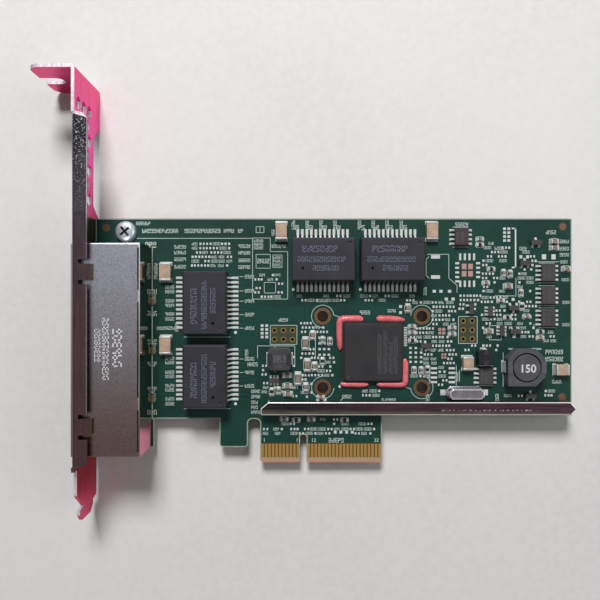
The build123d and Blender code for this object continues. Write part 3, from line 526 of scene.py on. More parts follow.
crowd_areas = (
    (-0.9, 9.4, 18.2, 39.8, 0.85), (-11.8, -1.0, 18.4, 32.0, 0.6), (29.0, 43.4, 21.6, 46.0, 0.9),
    (43.6, 50.2, 41.8, 48.4, 0.8), (50.3, 58.8, 48.0, 63.6, 0.5), (50.0, 66.2, 35.2, 47.8, 0.75),
    (60.2, 66.4, 48.0, 60.2, 0.7), (44.2, 56.0, 31.4, 34.2, 0.6), (-3.8, 21.4, 7.9, 10.6, 0.8),
    (-11.6, -3.8, 7.9, 10.6, 0.7), (-11.6, 21.4, 10.6, 12.9, 0.35),
    (67.6, 71.4, 17.4, 21.4, 0.8), (56.4, 62.0, 17.3, 19.9, 0.8),
    (16.2, 22.6, 17.4, 20.8, 0.9), (-31.8, -19.0, 55.2, 62.8, 0.95), (-13.8, -5.0, 46.4, 54.4, 0.7),
    (28.0, 33.6, 63.2, 67.0, 0.6), (-2.0, 33.5, 45.4, 47.4, 0.5), (65.3, 71.7, 34.0, 37.2, 0.8),
)
ground_pads = (((44.4, 48.0), (52.2, 56.3), 0.5), ((37.9, 40.1), (36.0, 38.1), 0.25),
               ((38.8, 40.4), (29.2, 30.9), 0.2))
crowd_pad = 0.5
crowd_trim = 0.04
crowd_clear = (0.15, 0.12)
crowd_skip = 0.4
crowd_gap = (0.25, 0.5)
crowd_start = 0.5
drawn_outlines = [(43.0, 49.0, 49.8, 59.2), (34.4, 51.6, 41.2, 58.9), (-11.2, 47.6, -7.6, 51.0)]
hole_room = 2.5
bead_room = 0.3
lead_nodes = {"transformer_leads_1": 1.9, "transformer_leads_2": 1.9, "transformer_leads_3": 1.9,
              "transformer_leads_4": 1.9, "flash_memory_leads": 1.5, "line_driver_leads": 1.5,
              "regulator_leads": 1.5, "transistor_leads": 0.9}


def solids(node):
    """The low and high corners, in millimetres, of each separate solid of a CAD node."""
    shape = bmesh.new()
    shape.from_mesh(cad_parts[node].data)
    bmesh.ops.remove_doubles(shape, verts=shape.verts, dist=weld * mm)
    shape.verts.ensure_lookup_table()
    seen, boxes = set(), []
    for first in shape.verts:
        if first.index in seen:
            continue
        seen.add(first.index)
        waiting, points = [first], []
        while waiting:
            vert = waiting.pop()
            points.append(vert.co * 1000)
            for edge in vert.link_edges:
                other = edge.other_vert(vert)
                if other.index not in seen:
                    seen.add(other.index)
                    waiting.append(other)
        boxes.append((Vector([min(axis) for axis in zip(*points)]),
                      Vector([max(axis) for axis in zip(*points)])))
    shape.free()
    return sorted(boxes, key=lambda box: (round(box[0].x, 2), round(box[0].y, 2), box[0].z))


def long_axis(low, high):
    """0 for a box that is longer along X, or else 1."""
    return 0 if high.x - low.x > high.y - low.y else 1


def chip_ends(low, high, length):
    """The side, low corner and high corner of each end of a chip."""
    axis = long_axis(low, high)
    for side in (-1, 1):
        end_low, end_high = low.copy(), high.copy()
        if side > 0:
            end_low[axis] = high[axis] - length
        else:
            end_high[axis] = low[axis] + length
        yield side, end_low, end_high


def add_slope(shape, xs, ys, high, axis, side):
    """Adds a wedge of solder that falls away from the end of a part."""
    corners = add_box(shape, xs, ys, (board_top, high))
    outer = (xs if axis == 0 else ys)[1 if side > 0 else 0]
    for vert in corners:
        if abs(vert.co[axis] - outer) < weld and vert.co.z > board_top + 0.01:
            vert.co.z = board_top + pad_rise
            vert.co[1 - axis] += (sum((xs, ys)[1 - axis]) / 2 - vert.co[1 - axis]) * slope_taper


def add_landing(shape, low, high, axis, side, height):
    """Adds the pad under one end of a part, with the solder that rises up it."""
    spans = [[low.x - pad_margin, high.x + pad_margin], [low.y - pad_margin, high.y + pad_margin]]
    slope = [[low.x, high.x], [low.y, high.y]]
    if side > 0:
        spans[axis][1] = high[axis] + pad_reach
        slope[axis] = [high[axis] - slope_lap, high[axis] + pad_reach * slope_share]
    else:
        spans[axis][0] = low[axis] - pad_reach
        slope[axis] = [low[axis] - pad_reach * slope_share, low[axis] + slope_lap]
    add_box(shape, spans[0], spans[1], (board_top, board_top + pad_rise))
    add_slope(shape, slope[0], slope[1], board_top + height * fillet_share, axis, side)


# Hot tin runs smooth and then dulls, so it shows soft highlights in a grey skin.
tin = tarnished("tinned_copper_pad", tin_bright, tin_dull, 1.1, 0.36, metallic=0.35)
pads = bmesh.new()
for x, y, width, height in bare_pads:
    add_box(pads, (x - width / 2, x + width / 2), (y - height / 2, y + height / 2),
            (board_top, board_top + pad_rise))
for x, y, step_x, step_y, across, up, width, height in pad_blocks:
    for column in range(across):
        for row in range(up):
            left, bottom = x + column * step_x - width / 2, y + row * step_y - height / 2
            add_box(pads, (left, left + width), (bottom, bottom + height),
                    (board_top, board_top + pad_rise))

# The pad under one end of a part points away from the part's other end.
for node in end_nodes:
    boxes = solids(node)
    for low, high in boxes:
        middle = (low + high) / 2
        mate = min((box for box in boxes if box[0] != low),
                   key=lambda box: ((box[0] + box[1]) / 2 - middle).length)
        away = middle - (mate[0] + mate[1]) / 2
        axis = 0 if abs(away.x) > abs(away.y) else 1
        add_landing(pads, low, high, axis, away[axis], high.z - low.z)

# The smallest chips are one solid each, with a pad at both ends.
for low, high in solids("small_chips"):
    for side, end_low, end_high in chip_ends(low, high, chip_landing):
        add_landing(pads, end_low, end_high, long_axis(low, high), side, high.z - low.z)

# The pad under a bent lead reaches a little past its tip, away from the package.
for node, length in lead_nodes.items():
    boxes = solids(node)
    for low, high in boxes:
        middle = (low + high) / 2
        near = [box for box in boxes if ((box[0] + box[1]) / 2 - middle).length < case_reach]
        centre = sum(((box[0] + box[1]) / 2 for box in near), Vector()) / len(near)
        axis = long_axis(low, high)
        side = 1 if middle[axis] > centre[axis] else -1
        spans = [[low.x - pad_margin, high.x + pad_margin],
                 [low.y - pad_margin, high.y + pad_margin]]
        outer = high[axis] if side > 0 else low[axis]
        spans[axis] = sorted((outer - side * length * slope_share, outer + side * lead_margin))
        add_box(pads, spans[0], spans[1], (board_top, board_top + pad_rise))
        slope = [[low.x, high.x], [low.y, high.y]]
        slope[axis] = sorted((outer - side * 0.05, outer + side * lead_margin * slope_share))
        add_slope(pads, slope[0], slope[1], board_top + lead_fillet, axis, side)
for low, high in solids("crystal_leads"):
    add_box(pads, (low.x - crystal_margin[0], high.x + crystal_margin[0]),
            (low.y - crystal_margin[1], high.y + crystal_margin[1]),
            (board_top, board_top + pad_rise))


def taken_places():
    """The rectangles of the board that are taken by parts, holes, pads and drawn outlines."""
    taken = [(left, bottom, right, top) for (left, right), (bottom, top) in header_windows]
    taken += drawn_outlines
    half = heatsink_middle[0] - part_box("corner_bond")[0].x * 1000 + bead_room
    taken.append((heatsink_middle[0] - half, heatsink_middle[1] - half,
                  heatsink_middle[0] + half, heatsink_middle[1] + half))
    for side in (-1, 1):
        for end in (-1, 1):
            x, y = heatsink_hole(side, end)
            taken.append((x - hole_room, y - hole_room, x + hole_room, y + hole_room))
    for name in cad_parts:
        if not name.startswith(("circuit", "bracket", "jack", "edge", "controller", "corner")):
            taken += [(low.x, low.y, high.x, high.y) for low, high in solids(name)]
    for x, y, width, height in bare_pads:
        taken.append((x - width / 2, y - height / 2, x + width / 2, y + height / 2))
    taken += [(left, bottom, right, top) for (left, right), (bottom, top), gap in ground_pads]
    for x, y, step_x, step_y, across, up, width, height in pad_blocks:
        taken.append((x - width / 2, y - height / 2, x + (across - 1) * step_x + width / 2,
                      y + (up - 1) * step_y + height / 2))
    return taken


# The crowded areas are filled at random: small pads here, and labels and boxes for the print.
taken = taken_places()
spread = random.Random(crowd_seed)
crowd_labels, crowd_boxes = [], []
for left, right, bottom, top, share in crowd_areas:
    y = bottom
    while y + crowd_height < top:
        x = left + spread.uniform(0, crowd_start)
        while x < right:
            kind = spread.choice(("pair", "pair", "label", "boxed", "single"))
            if spread.random() > share:
                kind = "gap"
            width = crowd_kinds[kind]
            if x + width > right:
                break
            if any(x < b[2] + crowd_clear[0] and x + width > b[0] - crowd_clear[0]
                   and y < b[3] + crowd_clear[1] and y + crowd_height > b[1] - crowd_clear[1]
                   for b in taken):
                x += crowd_skip
                continue
            ys = (y + crowd_trim, y + crowd_height - crowd_trim)
            if kind == "pair":
                for start in (x, x + width - crowd_pad):
                    add_box(pads, (start, start + crowd_pad), ys, (board_top, board_top + pad_rise))
            elif kind == "single":
                add_box(pads, (x, x + width), ys, (board_top, board_top + pad_rise))
            elif kind == "label":
                crowd_labels.append((x, y))
            elif kind == "boxed":
                crowd_boxes.append((x, y))
            x += width + spread.uniform(*crowd_gap)
        y += crowd_step
place_piece("tinned_pads", pads, tin)

# Ground pads
# The cooling pads of unfitted chips are screened with solder as four windows with a cross
# between. The jack's posts end in discs of solder behind the jack.
ground_colour = "#E8C4BC"
ground_dull = "#B88880"
flux_brown = "#9A8E76"
flux_dark = "#5E5444"
post_height = 0.12
post_taper = 0.7

# Wide pads keep a film of flux, which turns the tin pinkish.
blush = tarnished("tinned_copper_over_flux", ground_colour, ground_dull, 1.4, 0.4)
ground = bmesh.new()
for xs, ys, gap in ground_pads:
    for left, right in ((xs[0], sum(xs) / 2), (sum(xs) / 2, xs[1])):
        for bottom, top in ((ys[0], sum(ys) / 2), (sum(ys) / 2, ys[1])):
            add_box(ground, (left + gap / 2, right - gap / 2), (bottom + gap / 2, top - gap / 2),
                    (board_top, board_top + pad_rise))
place_piece("ground_pads", ground, blush)

# Solder round the posts is brown with burnt flux.
post_solder = tarnished("flux_stained_solder", flux_brown, flux_dark, 1.0, 0.5, metallic=0.4)
discs = bmesh.new()
for x, y in post_sites:
    add_disc(discs, x, y, post_disc, board_top, board_top + post_height, post_disc * post_taper)
place_piece("post_solder", discs, post_solder)

# Silk print
# White epoxy ink, screened on last. It outlines the parts and labels them. The labels here
# are rows of plain strokes, with plain numbers over the contacts.
ink_rise = 0.022
ink_line = 0.13
ink_white = "#DCE8E2"
ink_thin = "#AEC0B8"
stroke_share = 0.15
letter_share = 0.68
cell_share = 0.42
strokes_on = 5
ring_radius = 3.15
ring_turn = 13
ring_steps = 21
ring_tail = (1.6, 0.4)
outline_gap = 0.35
capital_share = 0.72
dot_radius = 0.42
wear_size = 0.35
boxed_width = 2.0
boxed_bar = 0.4
number_line = 6.3
left_labels = -38.8
right_labels = -16.4
right_ticks = (-17.9, -16.9)
top_labels = ((0.0, 65.8, 4, 0.95), (1.1, 65.6, 2, 1.1))
label_drop = 0.4
crowd_marks = (3, 0.8)
line_gap = 0.3
line_reach = 0.2
silk_lines = (
    [(-42.5, 46.9), (-42.5, 61.0)], [(-42.5, 33.0), (-42.5, 44.0)], [(-42.5, 19.4), (-42.5, 30.2)],
    [(-42.5, 12.3), (-42.5, 16.6)], [(-46.8, 63.2), (-14.5, 63.2)],
    [(-12.2, 64.8), (-12.2, 66.5)], [(-12.9, 32.9), (-2.4, 32.9), (-2.4, 27.0)],
    [(-12.9, 32.9), (-12.9, 29.4)],
    [(-14.3, 46.1), (-14.3, 63.3), (-9.3, 63.3), (-9.3, 59.5), (-4.4, 59.5), (-4.4, 46.1),
     (-14.3, 46.1)],
    [(-13.3, 54.8), (-9.3, 54.8), (-9.3, 58.7), (-13.3, 58.7), (-13.3, 54.8)],
    [(-8.6, 55.0), (-6.0, 55.0), (-6.0, 58.5), (-8.6, 58.5), (-8.6, 55.0)],
    [(-11.0, 47.8), (-7.8, 47.8), (-7.8, 50.8), (-11.0, 50.8), (-11.0, 47.8)],
    [(-13.3, 64.8), (-11.1, 64.8), (-11.1, 66.5), (-13.3, 66.5), (-13.3, 64.8)],
    [(-9.3, 33.3), (-1.8, 33.3), (-1.8, 38.7), (-9.3, 38.7), (-9.3, 33.3)],
    [(43.7, 33.6), (49.0, 33.6), (49.0, 41.2), (43.7, 41.2), (43.7, 33.6)],
    [(35.0, 58.7), (41.0, 58.7), (41.0, 52.0), (43.3, 50.0), (43.3, 48.0)],
    [(34.6, 52.8), (34.6, 57.2), (35.4, 58.0)], [(34.6, 52.8), (35.4, 52.0)],
    [(35.5, 21.8), (35.5, 27.4)], [(43.1, 21.8), (43.1, 27.4)],
    [(54.0, 47.0), (59.5, 47.0)], [(59.9, 46.8), (59.9, 52.0)],
    [(57.8, 32.2), (67.0, 32.2)], [(57.8, 31.9), (67.0, 31.9)], [(56.3, 21.5), (56.3, 31.0)],
    [(10.0, 17.0), (12.2, 19.2)],
    [(-33.6, 35.4), (-20.5, 35.4)], [(-33.6, 15.2), (-20.5, 15.2)],
    [(52.4, 34.6), (55.8, 34.6), (55.8, 38.6), (52.4, 38.6), (52.4, 34.6)],
    [(65.0, 56.6), (72.0, 56.6)], [(65.0, 38.0), (65.0, 39.0)],
    [(27.9, 32.4), (27.9, 38.8)], [(3.4, 29.6), (3.4, 37.0)],
    [(-8.0, 25.4), (-8.0, 33.0)], [(44.0, 23.0), (44.0, 26.0)],
)
thick_lines = ([(59.8, 55.0), (59.8, 66.0)], [(58.9, 55.0), (59.8, 55.0)],
               [(58.9, 66.0), (59.8, 66.0)])
label_rows = (
    (-45.3, 65.3, 13, 1.16, 0), (-33.4, 65.3, 13, 1.16, 0), (-22.3, 65.3, 4, 1.1, 0),
    (-18.3, 65.3, 2, 1.1, 0), (-47.0, 67.4, 6, 1.0, 0), (-44.4, 61.4, 3, 1.6, 0),
    (-43.9, 48.2, 3, 1.4, 0), (-43.9, 42.0, 3, 1.4, 0), (-43.9, 34.1, 3, 1.4, 0),
    (-43.9, 27.7, 3, 1.4, 0), (-43.9, 20.7, 3, 1.4, 0), (-43.9, 14.2, 3, 1.4, 0),
    (-41.2, 37.9, 8, 0.95, 0), (-14.6, 20.1, 4, 0.95, 0), (-14.6, 18.6, 4, 0.95, 0),
    (-14.6, 17.0, 3, 0.95, 0), (-14.6, 15.6, 3, 0.95, 0), (-14.6, 14.2, 4, 0.95, 0),
    (-36.3, 60.8, 5, 1.0, 0), (-36.3, 59.2, 5, 1.0, 0), (-36.3, 57.3, 5, 1.0, 0),
    (-36.3, 55.2, 5, 1.0, 0), (-18.2, 61.0, 5, 1.0, 0), (-18.2, 59.1, 5, 1.0, 0),
    (-18.2, 57.0, 5, 1.0, 0), (-18.2, 55.1, 5, 1.0, 0), (-13.9, 62.5, 5, 0.8, 0),
    (-13.9, 61.5, 5, 0.8, 0), (-13.9, 60.5, 5, 0.8, 0), (-12.9, 56.8, 4, 1.3, 0),
    (-8.4, 57.8, 4, 0.8, 0), (-8.4, 56.8, 4, 0.8, 0), (-8.4, 55.7, 4, 0.8, 0),
    (-8.8, 61.0, 6, 1.0, 0), (-6.9, 40.2, 4, 1.0, 0), (-15.6, 27.7, 4, 1.1, 0),
    (16.0, 42.3, 4, 1.1, 0), (3.8, 45.7, 5, 0.95, 0), (23.8, 42.8, 4, 0.9, 0),
    (11.0, 18.6, 4, 1.0, 0), (22.2, 17.6, 6, 1.0, 0), (42.9, 67.1, 5, 1.1, 0),
    (54.0, 60.4, 4, 1.0, 0), (61.0, 60.3, 3, 1.0, 0), (68.4, 64.9, 4, 1.1, 0),
    (72.3, 62.3, 4, 1.0, 0), (72.3, 60.3, 4, 1.0, 0), (72.3, 58.6, 4, 1.0, 0),
    (68.3, 31.2, 6, 1.25, 0), (68.3, 29.2, 6, 1.25, 0), (70.2, 22.8, 4, 1.0, 0),
    (7.2, 6.3, 5, 1.3, 0), (-41.2, 51.8, 7, 0.95, 90),
    (-44.6, 51.8, 5, 0.9, 90), (-15.6, 29.0, 5, 0.9, 90), (-8.1, 64.0, 3, 0.9, 90),
    (35.4, 17.5, 3, 1.0, 90), (55.0, 17.5, 3, 1.0, 90), (43.6, 23.0, 5, 0.8, 90),
    (34.7, 47.2, 4, 0.9, 90), (-35.3, 37.0, 4, 0.9, 90),
)
left_rows = (49.5, 48.2, 45.6, 44.3, 41.9, 40.5, 29.4, 28.2, 25.5, 24.3, 21.7, 20.5, 18.0, 16.6)
right_rows = (52.4, 48.4, 45.5, 41.7, 37.9, 29.2, 25.4, 21.6)
top_columns = (-2.4, 1.5, 5.4, 9.3, 16.2, 20.1, 24.0, 28.0)
edge_boxes = ((72.4, 56.2), (72.8, 51.2), (73.0, 44.8), (73.0, 38.5))
contact_numbers = (("1", -11.0), ("11", -1.4), ("12", 2.9), ("32", 20.6))
pin_one_dots = ((-19.1, 36.7), (-19.1, 16.6), (-2.8, 48.8), (16.1, 48.8), (10.3, 21.5))
print_seed = 11

# Screened ink is matt, and thin in places, where the green shows through a little.
ink = two_toned("screened_epoxy_ink", ink_white, ink_thin, wear_size, Roughness=0.6)
draw = random.Random(print_seed)


def add_marks(shape, x, y, count, height, low, high, turn=0):
    """Adds a row of random short strokes on a figure-of-eight grid, which reads as print."""
    along = Vector((math.cos(math.radians(turn)), math.sin(math.radians(turn))))
    across = Vector((-along.y, along.x))
    wide, tall = along * height * cell_share, across * height * cell_share
    grid = ((tall * 2, tall * 2 + wide), (tall + wide, tall * 2 + wide), (wide, tall + wide),
            (wide * 0, wide), (wide * 0, tall), (tall, tall * 2), (tall, tall + wide))
    for cell in range(count):
        corner = Vector((x, y)) + along * cell * height * letter_share
        for start, end in draw.sample(grid, strokes_on):
            add_stroke(shape, corner + start, corner + end, height * stroke_share, low, high)


def mesh_from(helper):
    """Links a helper, takes the mesh that its curve or modifiers give, and removes it."""
    bpy.context.scene.collection.objects.link(helper)
    bpy.context.view_layer.update()
    mesh = bpy.data.meshes.new_from_object(helper.evaluated_get(
        bpy.context.evaluated_depsgraph_get()))
    bpy.data.objects.remove(helper)
    return mesh


def add_text(shape, words, x, y, height, z, turn=0, rise=0.02, bold=0.0):
    """Adds plain print, centred on a point, as a mesh."""
    curve = bpy.data.curves.new("print", "FONT")
    curve.body = words
    curve.size = height / capital_share
    curve.extrude = rise
    curve.offset = bold
    curve.align_x = "CENTER"
    curve.align_y = "CENTER"
    curve.resolution_u = 3
    flat = mesh_from(bpy.data.objects.new("print", curve))
    flat.transform(Matrix.Translation((x, y, z)) @ Matrix.Rotation(math.radians(turn), 4, "Z"))
    shape.from_mesh(flat)


silk = bmesh.new()
ink_film = (board_top, board_top + ink_rise)
for points in silk_lines:
    add_path(silk, points, ink_line, *ink_film)
for points in thick_lines:
    add_path(silk, points, ink_line * 3, *ink_film)
for x, y, count, height, turn in label_rows:
    add_marks(silk, x, y - (0 if turn else height * cell_share), count, height, *ink_film, turn)
for y in left_rows:
    add_marks(silk, left_labels, y - label_drop, 4, 0.95, *ink_film)
for y in right_rows:
    add_marks(silk, right_labels, y - label_drop, 4, 1.0, *ink_film)
    add_stroke(silk, (right_ticks[0], y), (right_ticks[1], y), ink_line, *ink_film)
for x in top_columns:
    for shift, y, count, height in top_labels:
        add_marks(silk, x + shift, y, count, height, *ink_film, 90)
for x, y in crowd_labels:
    add_marks(silk, x, y, *crowd_marks, *ink_film)
for x, y in crowd_boxes + list(edge_boxes):
    far_x, far_y = x + boxed_width, y + crowd_height
    add_path(silk, [(x, y), (far_x, y), (far_x, far_y), (x, far_y)], ink_line * 0.6, *ink_film,
             closed=True)
    for step in range(1, 5):
        bar_x = x + step * boxed_bar
        add_stroke(silk, (bar_x, y), (bar_x, far_y), ink_line, *ink_film)
for words, x in contact_numbers:
    add_text(silk, words, x, number_line, 1.0, board_top, rise=ink_rise)

# Each heatsink hole has a broken ring with a short tail.
for side in (-1, 1):
    for end in (-1, 1):
        x, y = heatsink_hole(side, end)
        arc = []
        for step in range(ring_steps):
            turn = ring_turn * (step - (ring_steps - 1) / 2)
            angle = math.atan2(end, side) + math.radians(turn)
            arc.append((x + ring_radius * math.cos(angle), y + ring_radius * math.sin(angle)))
        add_path(silk, arc, ink_line * 1.2, *ink_film)
        tail = (arc[0][0] - side * ring_tail[0], arc[0][1] - end * ring_tail[1])
        add_path(silk, [arc[0], tail], ink_line, *ink_film)

# Chips have a line along each long side, and packages have one past each short side.
for node in ("medium_chip_bodies", "large_chip_bodies", "small_chips"):
    for low, high in solids(node):
        if long_axis(low, high) == 0:
            for y in (low.y - line_gap, high.y + line_gap):
                add_stroke(silk, (low.x - line_reach, y), (high.x + line_reach, y),
                           ink_line * 0.8, *ink_film)
        else:
            for x in (low.x - line_gap, high.x + line_gap):
                add_stroke(silk, (x, low.y - line_reach), (x, high.y + line_reach),
                           ink_line * 0.8, *ink_film)
for node in ("flash_memory_body", "line_driver_body", "regulator_body"):
    for low, high in solids(node):
        if high.x - low.x < high.y - low.y:
            for y in (low.y - outline_gap, high.y + outline_gap):
                add_stroke(silk, (low.x - line_reach, y), (high.x + line_reach, y), ink_line,
                           *ink_film)
        else:
            for x in (low.x - outline_gap, high.x + outline_gap):
                add_stroke(silk, (x, low.y - line_reach), (x, high.y + line_reach), ink_line,
                           *ink_film)
for x, y in pin_one_dots:
    add_disc(silk, x, y, dot_radius, *ink_film, steps=16)
place_piece("silk_print", silk, ink)

# Jack shell
# The four ports share a brass shell plated with satin nickel. It is folded round the
# moulding, slotted along its rear fold, and soldered to the board by its posts.
# The first two shell tones are a painted reflection of the room, light above and dark below.
shell_reflection_light = "#C4C4CE"
shell_reflection_dark = "#86706A"
# The next two are painted reflections of the pink bench and of the board on the rear wall.
shell_bench_reflection = "#CC3470"
shell_board_reflection = "#8E8A78"
shell_round = 0.09
jack_low, jack_high = (corner * 1000 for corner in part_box("jack_shield"))
speckle = 0.28
bench_band = (11.2, 13.0)
# These two tones paint a highlight on the shell's folds and cut edges.
shell_highlight_bright = "#D2D2D8"
shell_highlight_dull = "#8E8A8E"
mark_grey = "#E4E4E8"
mark_worn = "#A8A8AE"
mark_rows = ((-53.4, 38.2, 8, 1.6), (-51.3, 41.0, 14, 1.7), (-48.2, 38.2, 6, 2.5))


def dress(node, name, material, bevel=0.0, segments=2, sharp=40, angle=30, edge=None,
          least=0.0):
    """Replaces a CAD node by a copy with rounded edges, which may have a material of their own."""
    shape = bmesh.new()
    shape.from_mesh(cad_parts[node].data)
    bmesh.ops.scale(shape, vec=(1000, 1000, 1000), verts=shape.verts)
    bmesh.ops.remove_doubles(shape, verts=shape.verts, dist=weld)
    bmesh.ops.dissolve_limit(shape, angle_limit=math.radians(1.5), verts=shape.verts,
                             edges=shape.edges)
    if bevel:
        edges = [ridge for ridge in shape.edges if len(ridge.link_faces) == 2
                 and ridge.calc_face_angle() > math.radians(angle) and ridge.calc_length() > least]
        made = bmesh.ops.bevel(shape, geom=edges, offset=bevel, offset_type="OFFSET",
                               affect="EDGES", segments=segments, profile=0.5, material=-1,
                               clamp_overlap=not least)
        for face in made["faces"]:
            face.material_index = 1 if edge else 0
    piece = place_piece(name, shape, material, (node,), sharp)
    if edge:
        piece.data.materials.append(edge)
    return piece


# Satin nickel has a fine pebbled skin. Its colour carries a painted reflection of the room: cool
# and light near the card's top edge, and dark and warm lower down.
shell_plating, shader = new_material("satin_nickel_painted_reflections", Metallic=1.0)
where = add_node(shell_plating, "ShaderNodeTexCoord")
axes = add_node(shell_plating, "ShaderNodeSeparateXYZ", links={"Vector": where.outputs["Object"]})
run = add_node(shell_plating, "ShaderNodeMapRange", {1: jack_low.y * mm, 2: jack_high.y * mm,
                                                     "interpolation_type": "SMOOTHSTEP"},
               {"Value": axes.outputs["Y"]})
base = add_node(shell_plating, "ShaderNodeMix", {"data_type": "RGBA", 6: linear(shell_reflection_dark),
                                                 7: linear(shell_reflection_light)},
                {"Factor": run.outputs["Result"]})
pebbles = add_node(shell_plating, "ShaderNodeTexNoise", {"Scale": per_metre(speckle),
                                                         "Detail": 3.0,
                                                         "Roughness": 0.7},
                   {"Vector": where.outputs["Object"]})
contrast = add_node(shell_plating, "ShaderNodeMapRange", {1: 0.35, 2: 0.7, 3: 0.72, 4: 1.2},
                    {"Value": pebbles.outputs["Fac"]})
tone = add_node(shell_plating, "ShaderNodeVectorMath", {"operation": "SCALE"},
                {0: base.outputs[2], "Scale": contrast.outputs["Result"]})

# The rear wall is smooth. Its colour is a painted reflection of the board, and of the pink
# bench at its lower end.
surface = add_node(shell_plating, "ShaderNodeNewGeometry")
facing = add_node(shell_plating, "ShaderNodeSeparateXYZ",
                  links={"Vector": surface.outputs["True Normal"]})
rear = add_node(shell_plating, "ShaderNodeMath", {"operation": "GREATER_THAN", 1: 0.8},
                {0: facing.outputs["X"]})
lower = add_node(shell_plating, "ShaderNodeMapRange", {1: bench_band[0] * mm,
                                                       2: bench_band[1] * mm, 3: 1.0, 4: 0.0},
                 {"Value": axes.outputs["Y"]})
bench = add_node(shell_plating, "ShaderNodeMath", {"operation": "MULTIPLY"},
                 {0: rear.outputs["Value"], 1: lower.outputs["Result"]})
wall = add_node(shell_plating, "ShaderNodeMix", {"data_type": "RGBA", 7: linear(shell_board_reflection)},
                {"Factor": rear.outputs["Value"], 6: tone.outputs["Vector"]})
panel = add_node(shell_plating, "ShaderNodeMix", {"data_type": "RGBA", 7: linear(shell_bench_reflection)},
                 {"Factor": bench.outputs["Value"], 6: wall.outputs[2]})
grain = add_node(shell_plating, "ShaderNodeMapRange", {3: 0.2, 4: 0.42},
                 {"Value": pebbles.outputs["Fac"]})
gloss = add_node(shell_plating, "ShaderNodeMix", {"data_type": "FLOAT", 3: 0.07},
                 {"Factor": rear.outputs["Value"], 2: grain.outputs["Result"]})
matt = add_node(shell_plating, "ShaderNodeMath", {"operation": "SUBTRACT", 0: 1.0},
                {1: rear.outputs["Value"]})
height = add_node(shell_plating, "ShaderNodeMath", {"operation": "MULTIPLY"},
                  {0: matt.outputs["Value"], 1: pebbles.outputs["Fac"]})
skin = add_node(shell_plating, "ShaderNodeBump", {"Strength": 0.25, "Distance": 0.02 * mm},
                {"Height": height.outputs["Value"]})
feed(shell_plating, shader, Base_Color=panel.outputs[2], Roughness=gloss.outputs[0],
     Normal=skin.outputs["Normal"])

# Folds and cut edges carry a painted highlight, so they show as thin bright lines.
shell_edge_highlight = tarnished("nickel_edge_painted_highlight", shell_highlight_bright, shell_highlight_dull, 0.8, 0.3, metallic=0.7)
dress("jack_shield", "jack_shell", shell_plating, shell_round, edge=shell_edge_highlight)

# Rows of plain strokes stand where the shell is marked.
mark_ink = tarnished("pad_printed_ink", mark_grey, mark_worn, 0.5, 0.55, metallic=0.0)
marks = bmesh.new()
for x, y, count, height in mark_rows:
    add_marks(marks, x - height / 2, y, count, height, jack_high.z,
              jack_high.z + ink_rise, -90)
place_piece("jack_marks", marks, mark_ink)

# Jack moulding, lights and wires
# The moulding is black glass-filled PBT. Two milky light pipes lead up each port's corners,
# and eight gold-plated wires spring forward from each port's rear.
moulding_black = "#16161A"
moulding_grey = "#26262A"
moulding_grain = 0.12
pipe_milk = "#D9DDD6"
pipe_shade = "#C4CCC0"
wire_gold = "#D2A95A"
wire_worn = "#A8803C"
moulding_round = 0.08
pipe_round = 0.12


def moulded(name, colour, pale, grain, roughness, bump=0.15, patch=4.0, shine=0.3):
    """A moulded plastic or resin with a fine grain and a slight drift in tone."""
    material, shader = new_material(name, Specular_IOR_Level=shine)
    place = add_node(material, "ShaderNodeTexCoord")
    fine = add_node(material, "ShaderNodeTexNoise", {"Scale": per_metre(grain), "Detail": 3.0},
                    {"Vector": place.outputs["Object"]})
    wide = add_node(material, "ShaderNodeTexNoise", {"Scale": per_metre(patch), "Detail": 2.0},
                    {"Vector": place.outputs["Object"]})
    both = add_node(material, "ShaderNodeMath", {"operation": "MULTIPLY"},
                    {0: fine.outputs["Fac"], 1: wide.outputs["Fac"]})
    spread = add_node(material, "ShaderNodeMapRange", {1: 0.12, 2: 0.42},
                      {"Value": both.outputs["Value"]})
    tone = add_node(material, "ShaderNodeMix", {"data_type": "RGBA", 6: linear(colour),
                                                7: linear(pale)},
                    {"Factor": spread.outputs["Result"]})
    gloss = add_node(material, "ShaderNodeMapRange", {3: roughness * 0.85, 4: roughness * 1.15},
                     {"Value": fine.outputs["Fac"]})
    relief = add_node(material, "ShaderNodeBump", {"Strength": bump, "Distance": 0.03 * mm},
                      {"Height": fine.outputs["Fac"]})
    feed(material, shader, Base_Color=tone.outputs[2], Roughness=gloss.outputs["Result"],
         Normal=relief.outputs["Normal"])
    return material


# Glass-filled PBT is near black, with a dull sparkle.
housing_black = moulded("glass_filled_pbt", moulding_black, moulding_grey, moulding_grain, 0.5)
dress("jack_housing", "jack_moulding", housing_black, moulding_round, 1)

# Milky polycarbonate is smooth and pale, with hardly any grain.
light_pipe = moulded("milky_polycarbonate", pipe_milk, pipe_shade, 0.8, 0.25, 0.05)
dress("jack_lights", "jack_light_pipes", light_pipe, pipe_round)

# Thin gold over bronze is smooth and a deep yellow.
wire_gilt = tarnished("gold_plated_phosphor_bronze", wire_gold, wire_worn, 0.9, 0.25)
finish_node("jack_wires", wire_gilt)

# Bracket
# One sheet of steel, pierced and folded, then zinc plated. Its flange carries a painted
# reflection of the dark room, so it looks like gunmetal. The inner faces of the tab, lobe and
# tongue carry a painted reflection of the pink bench.
flange_level = 15.2
flange_end = 94.6
flange_slant = 0.3
flange_corner = 62.7
# Painted reflection of the dark room on the flange.
room_reflection_grey = "#524C52"
room_reflection_warm = "#685052"
room_reflection_deep = "#2E2A2E"
zinc_grey = "#A9ABB2"
board_reflection_olive = "#5C5A40"
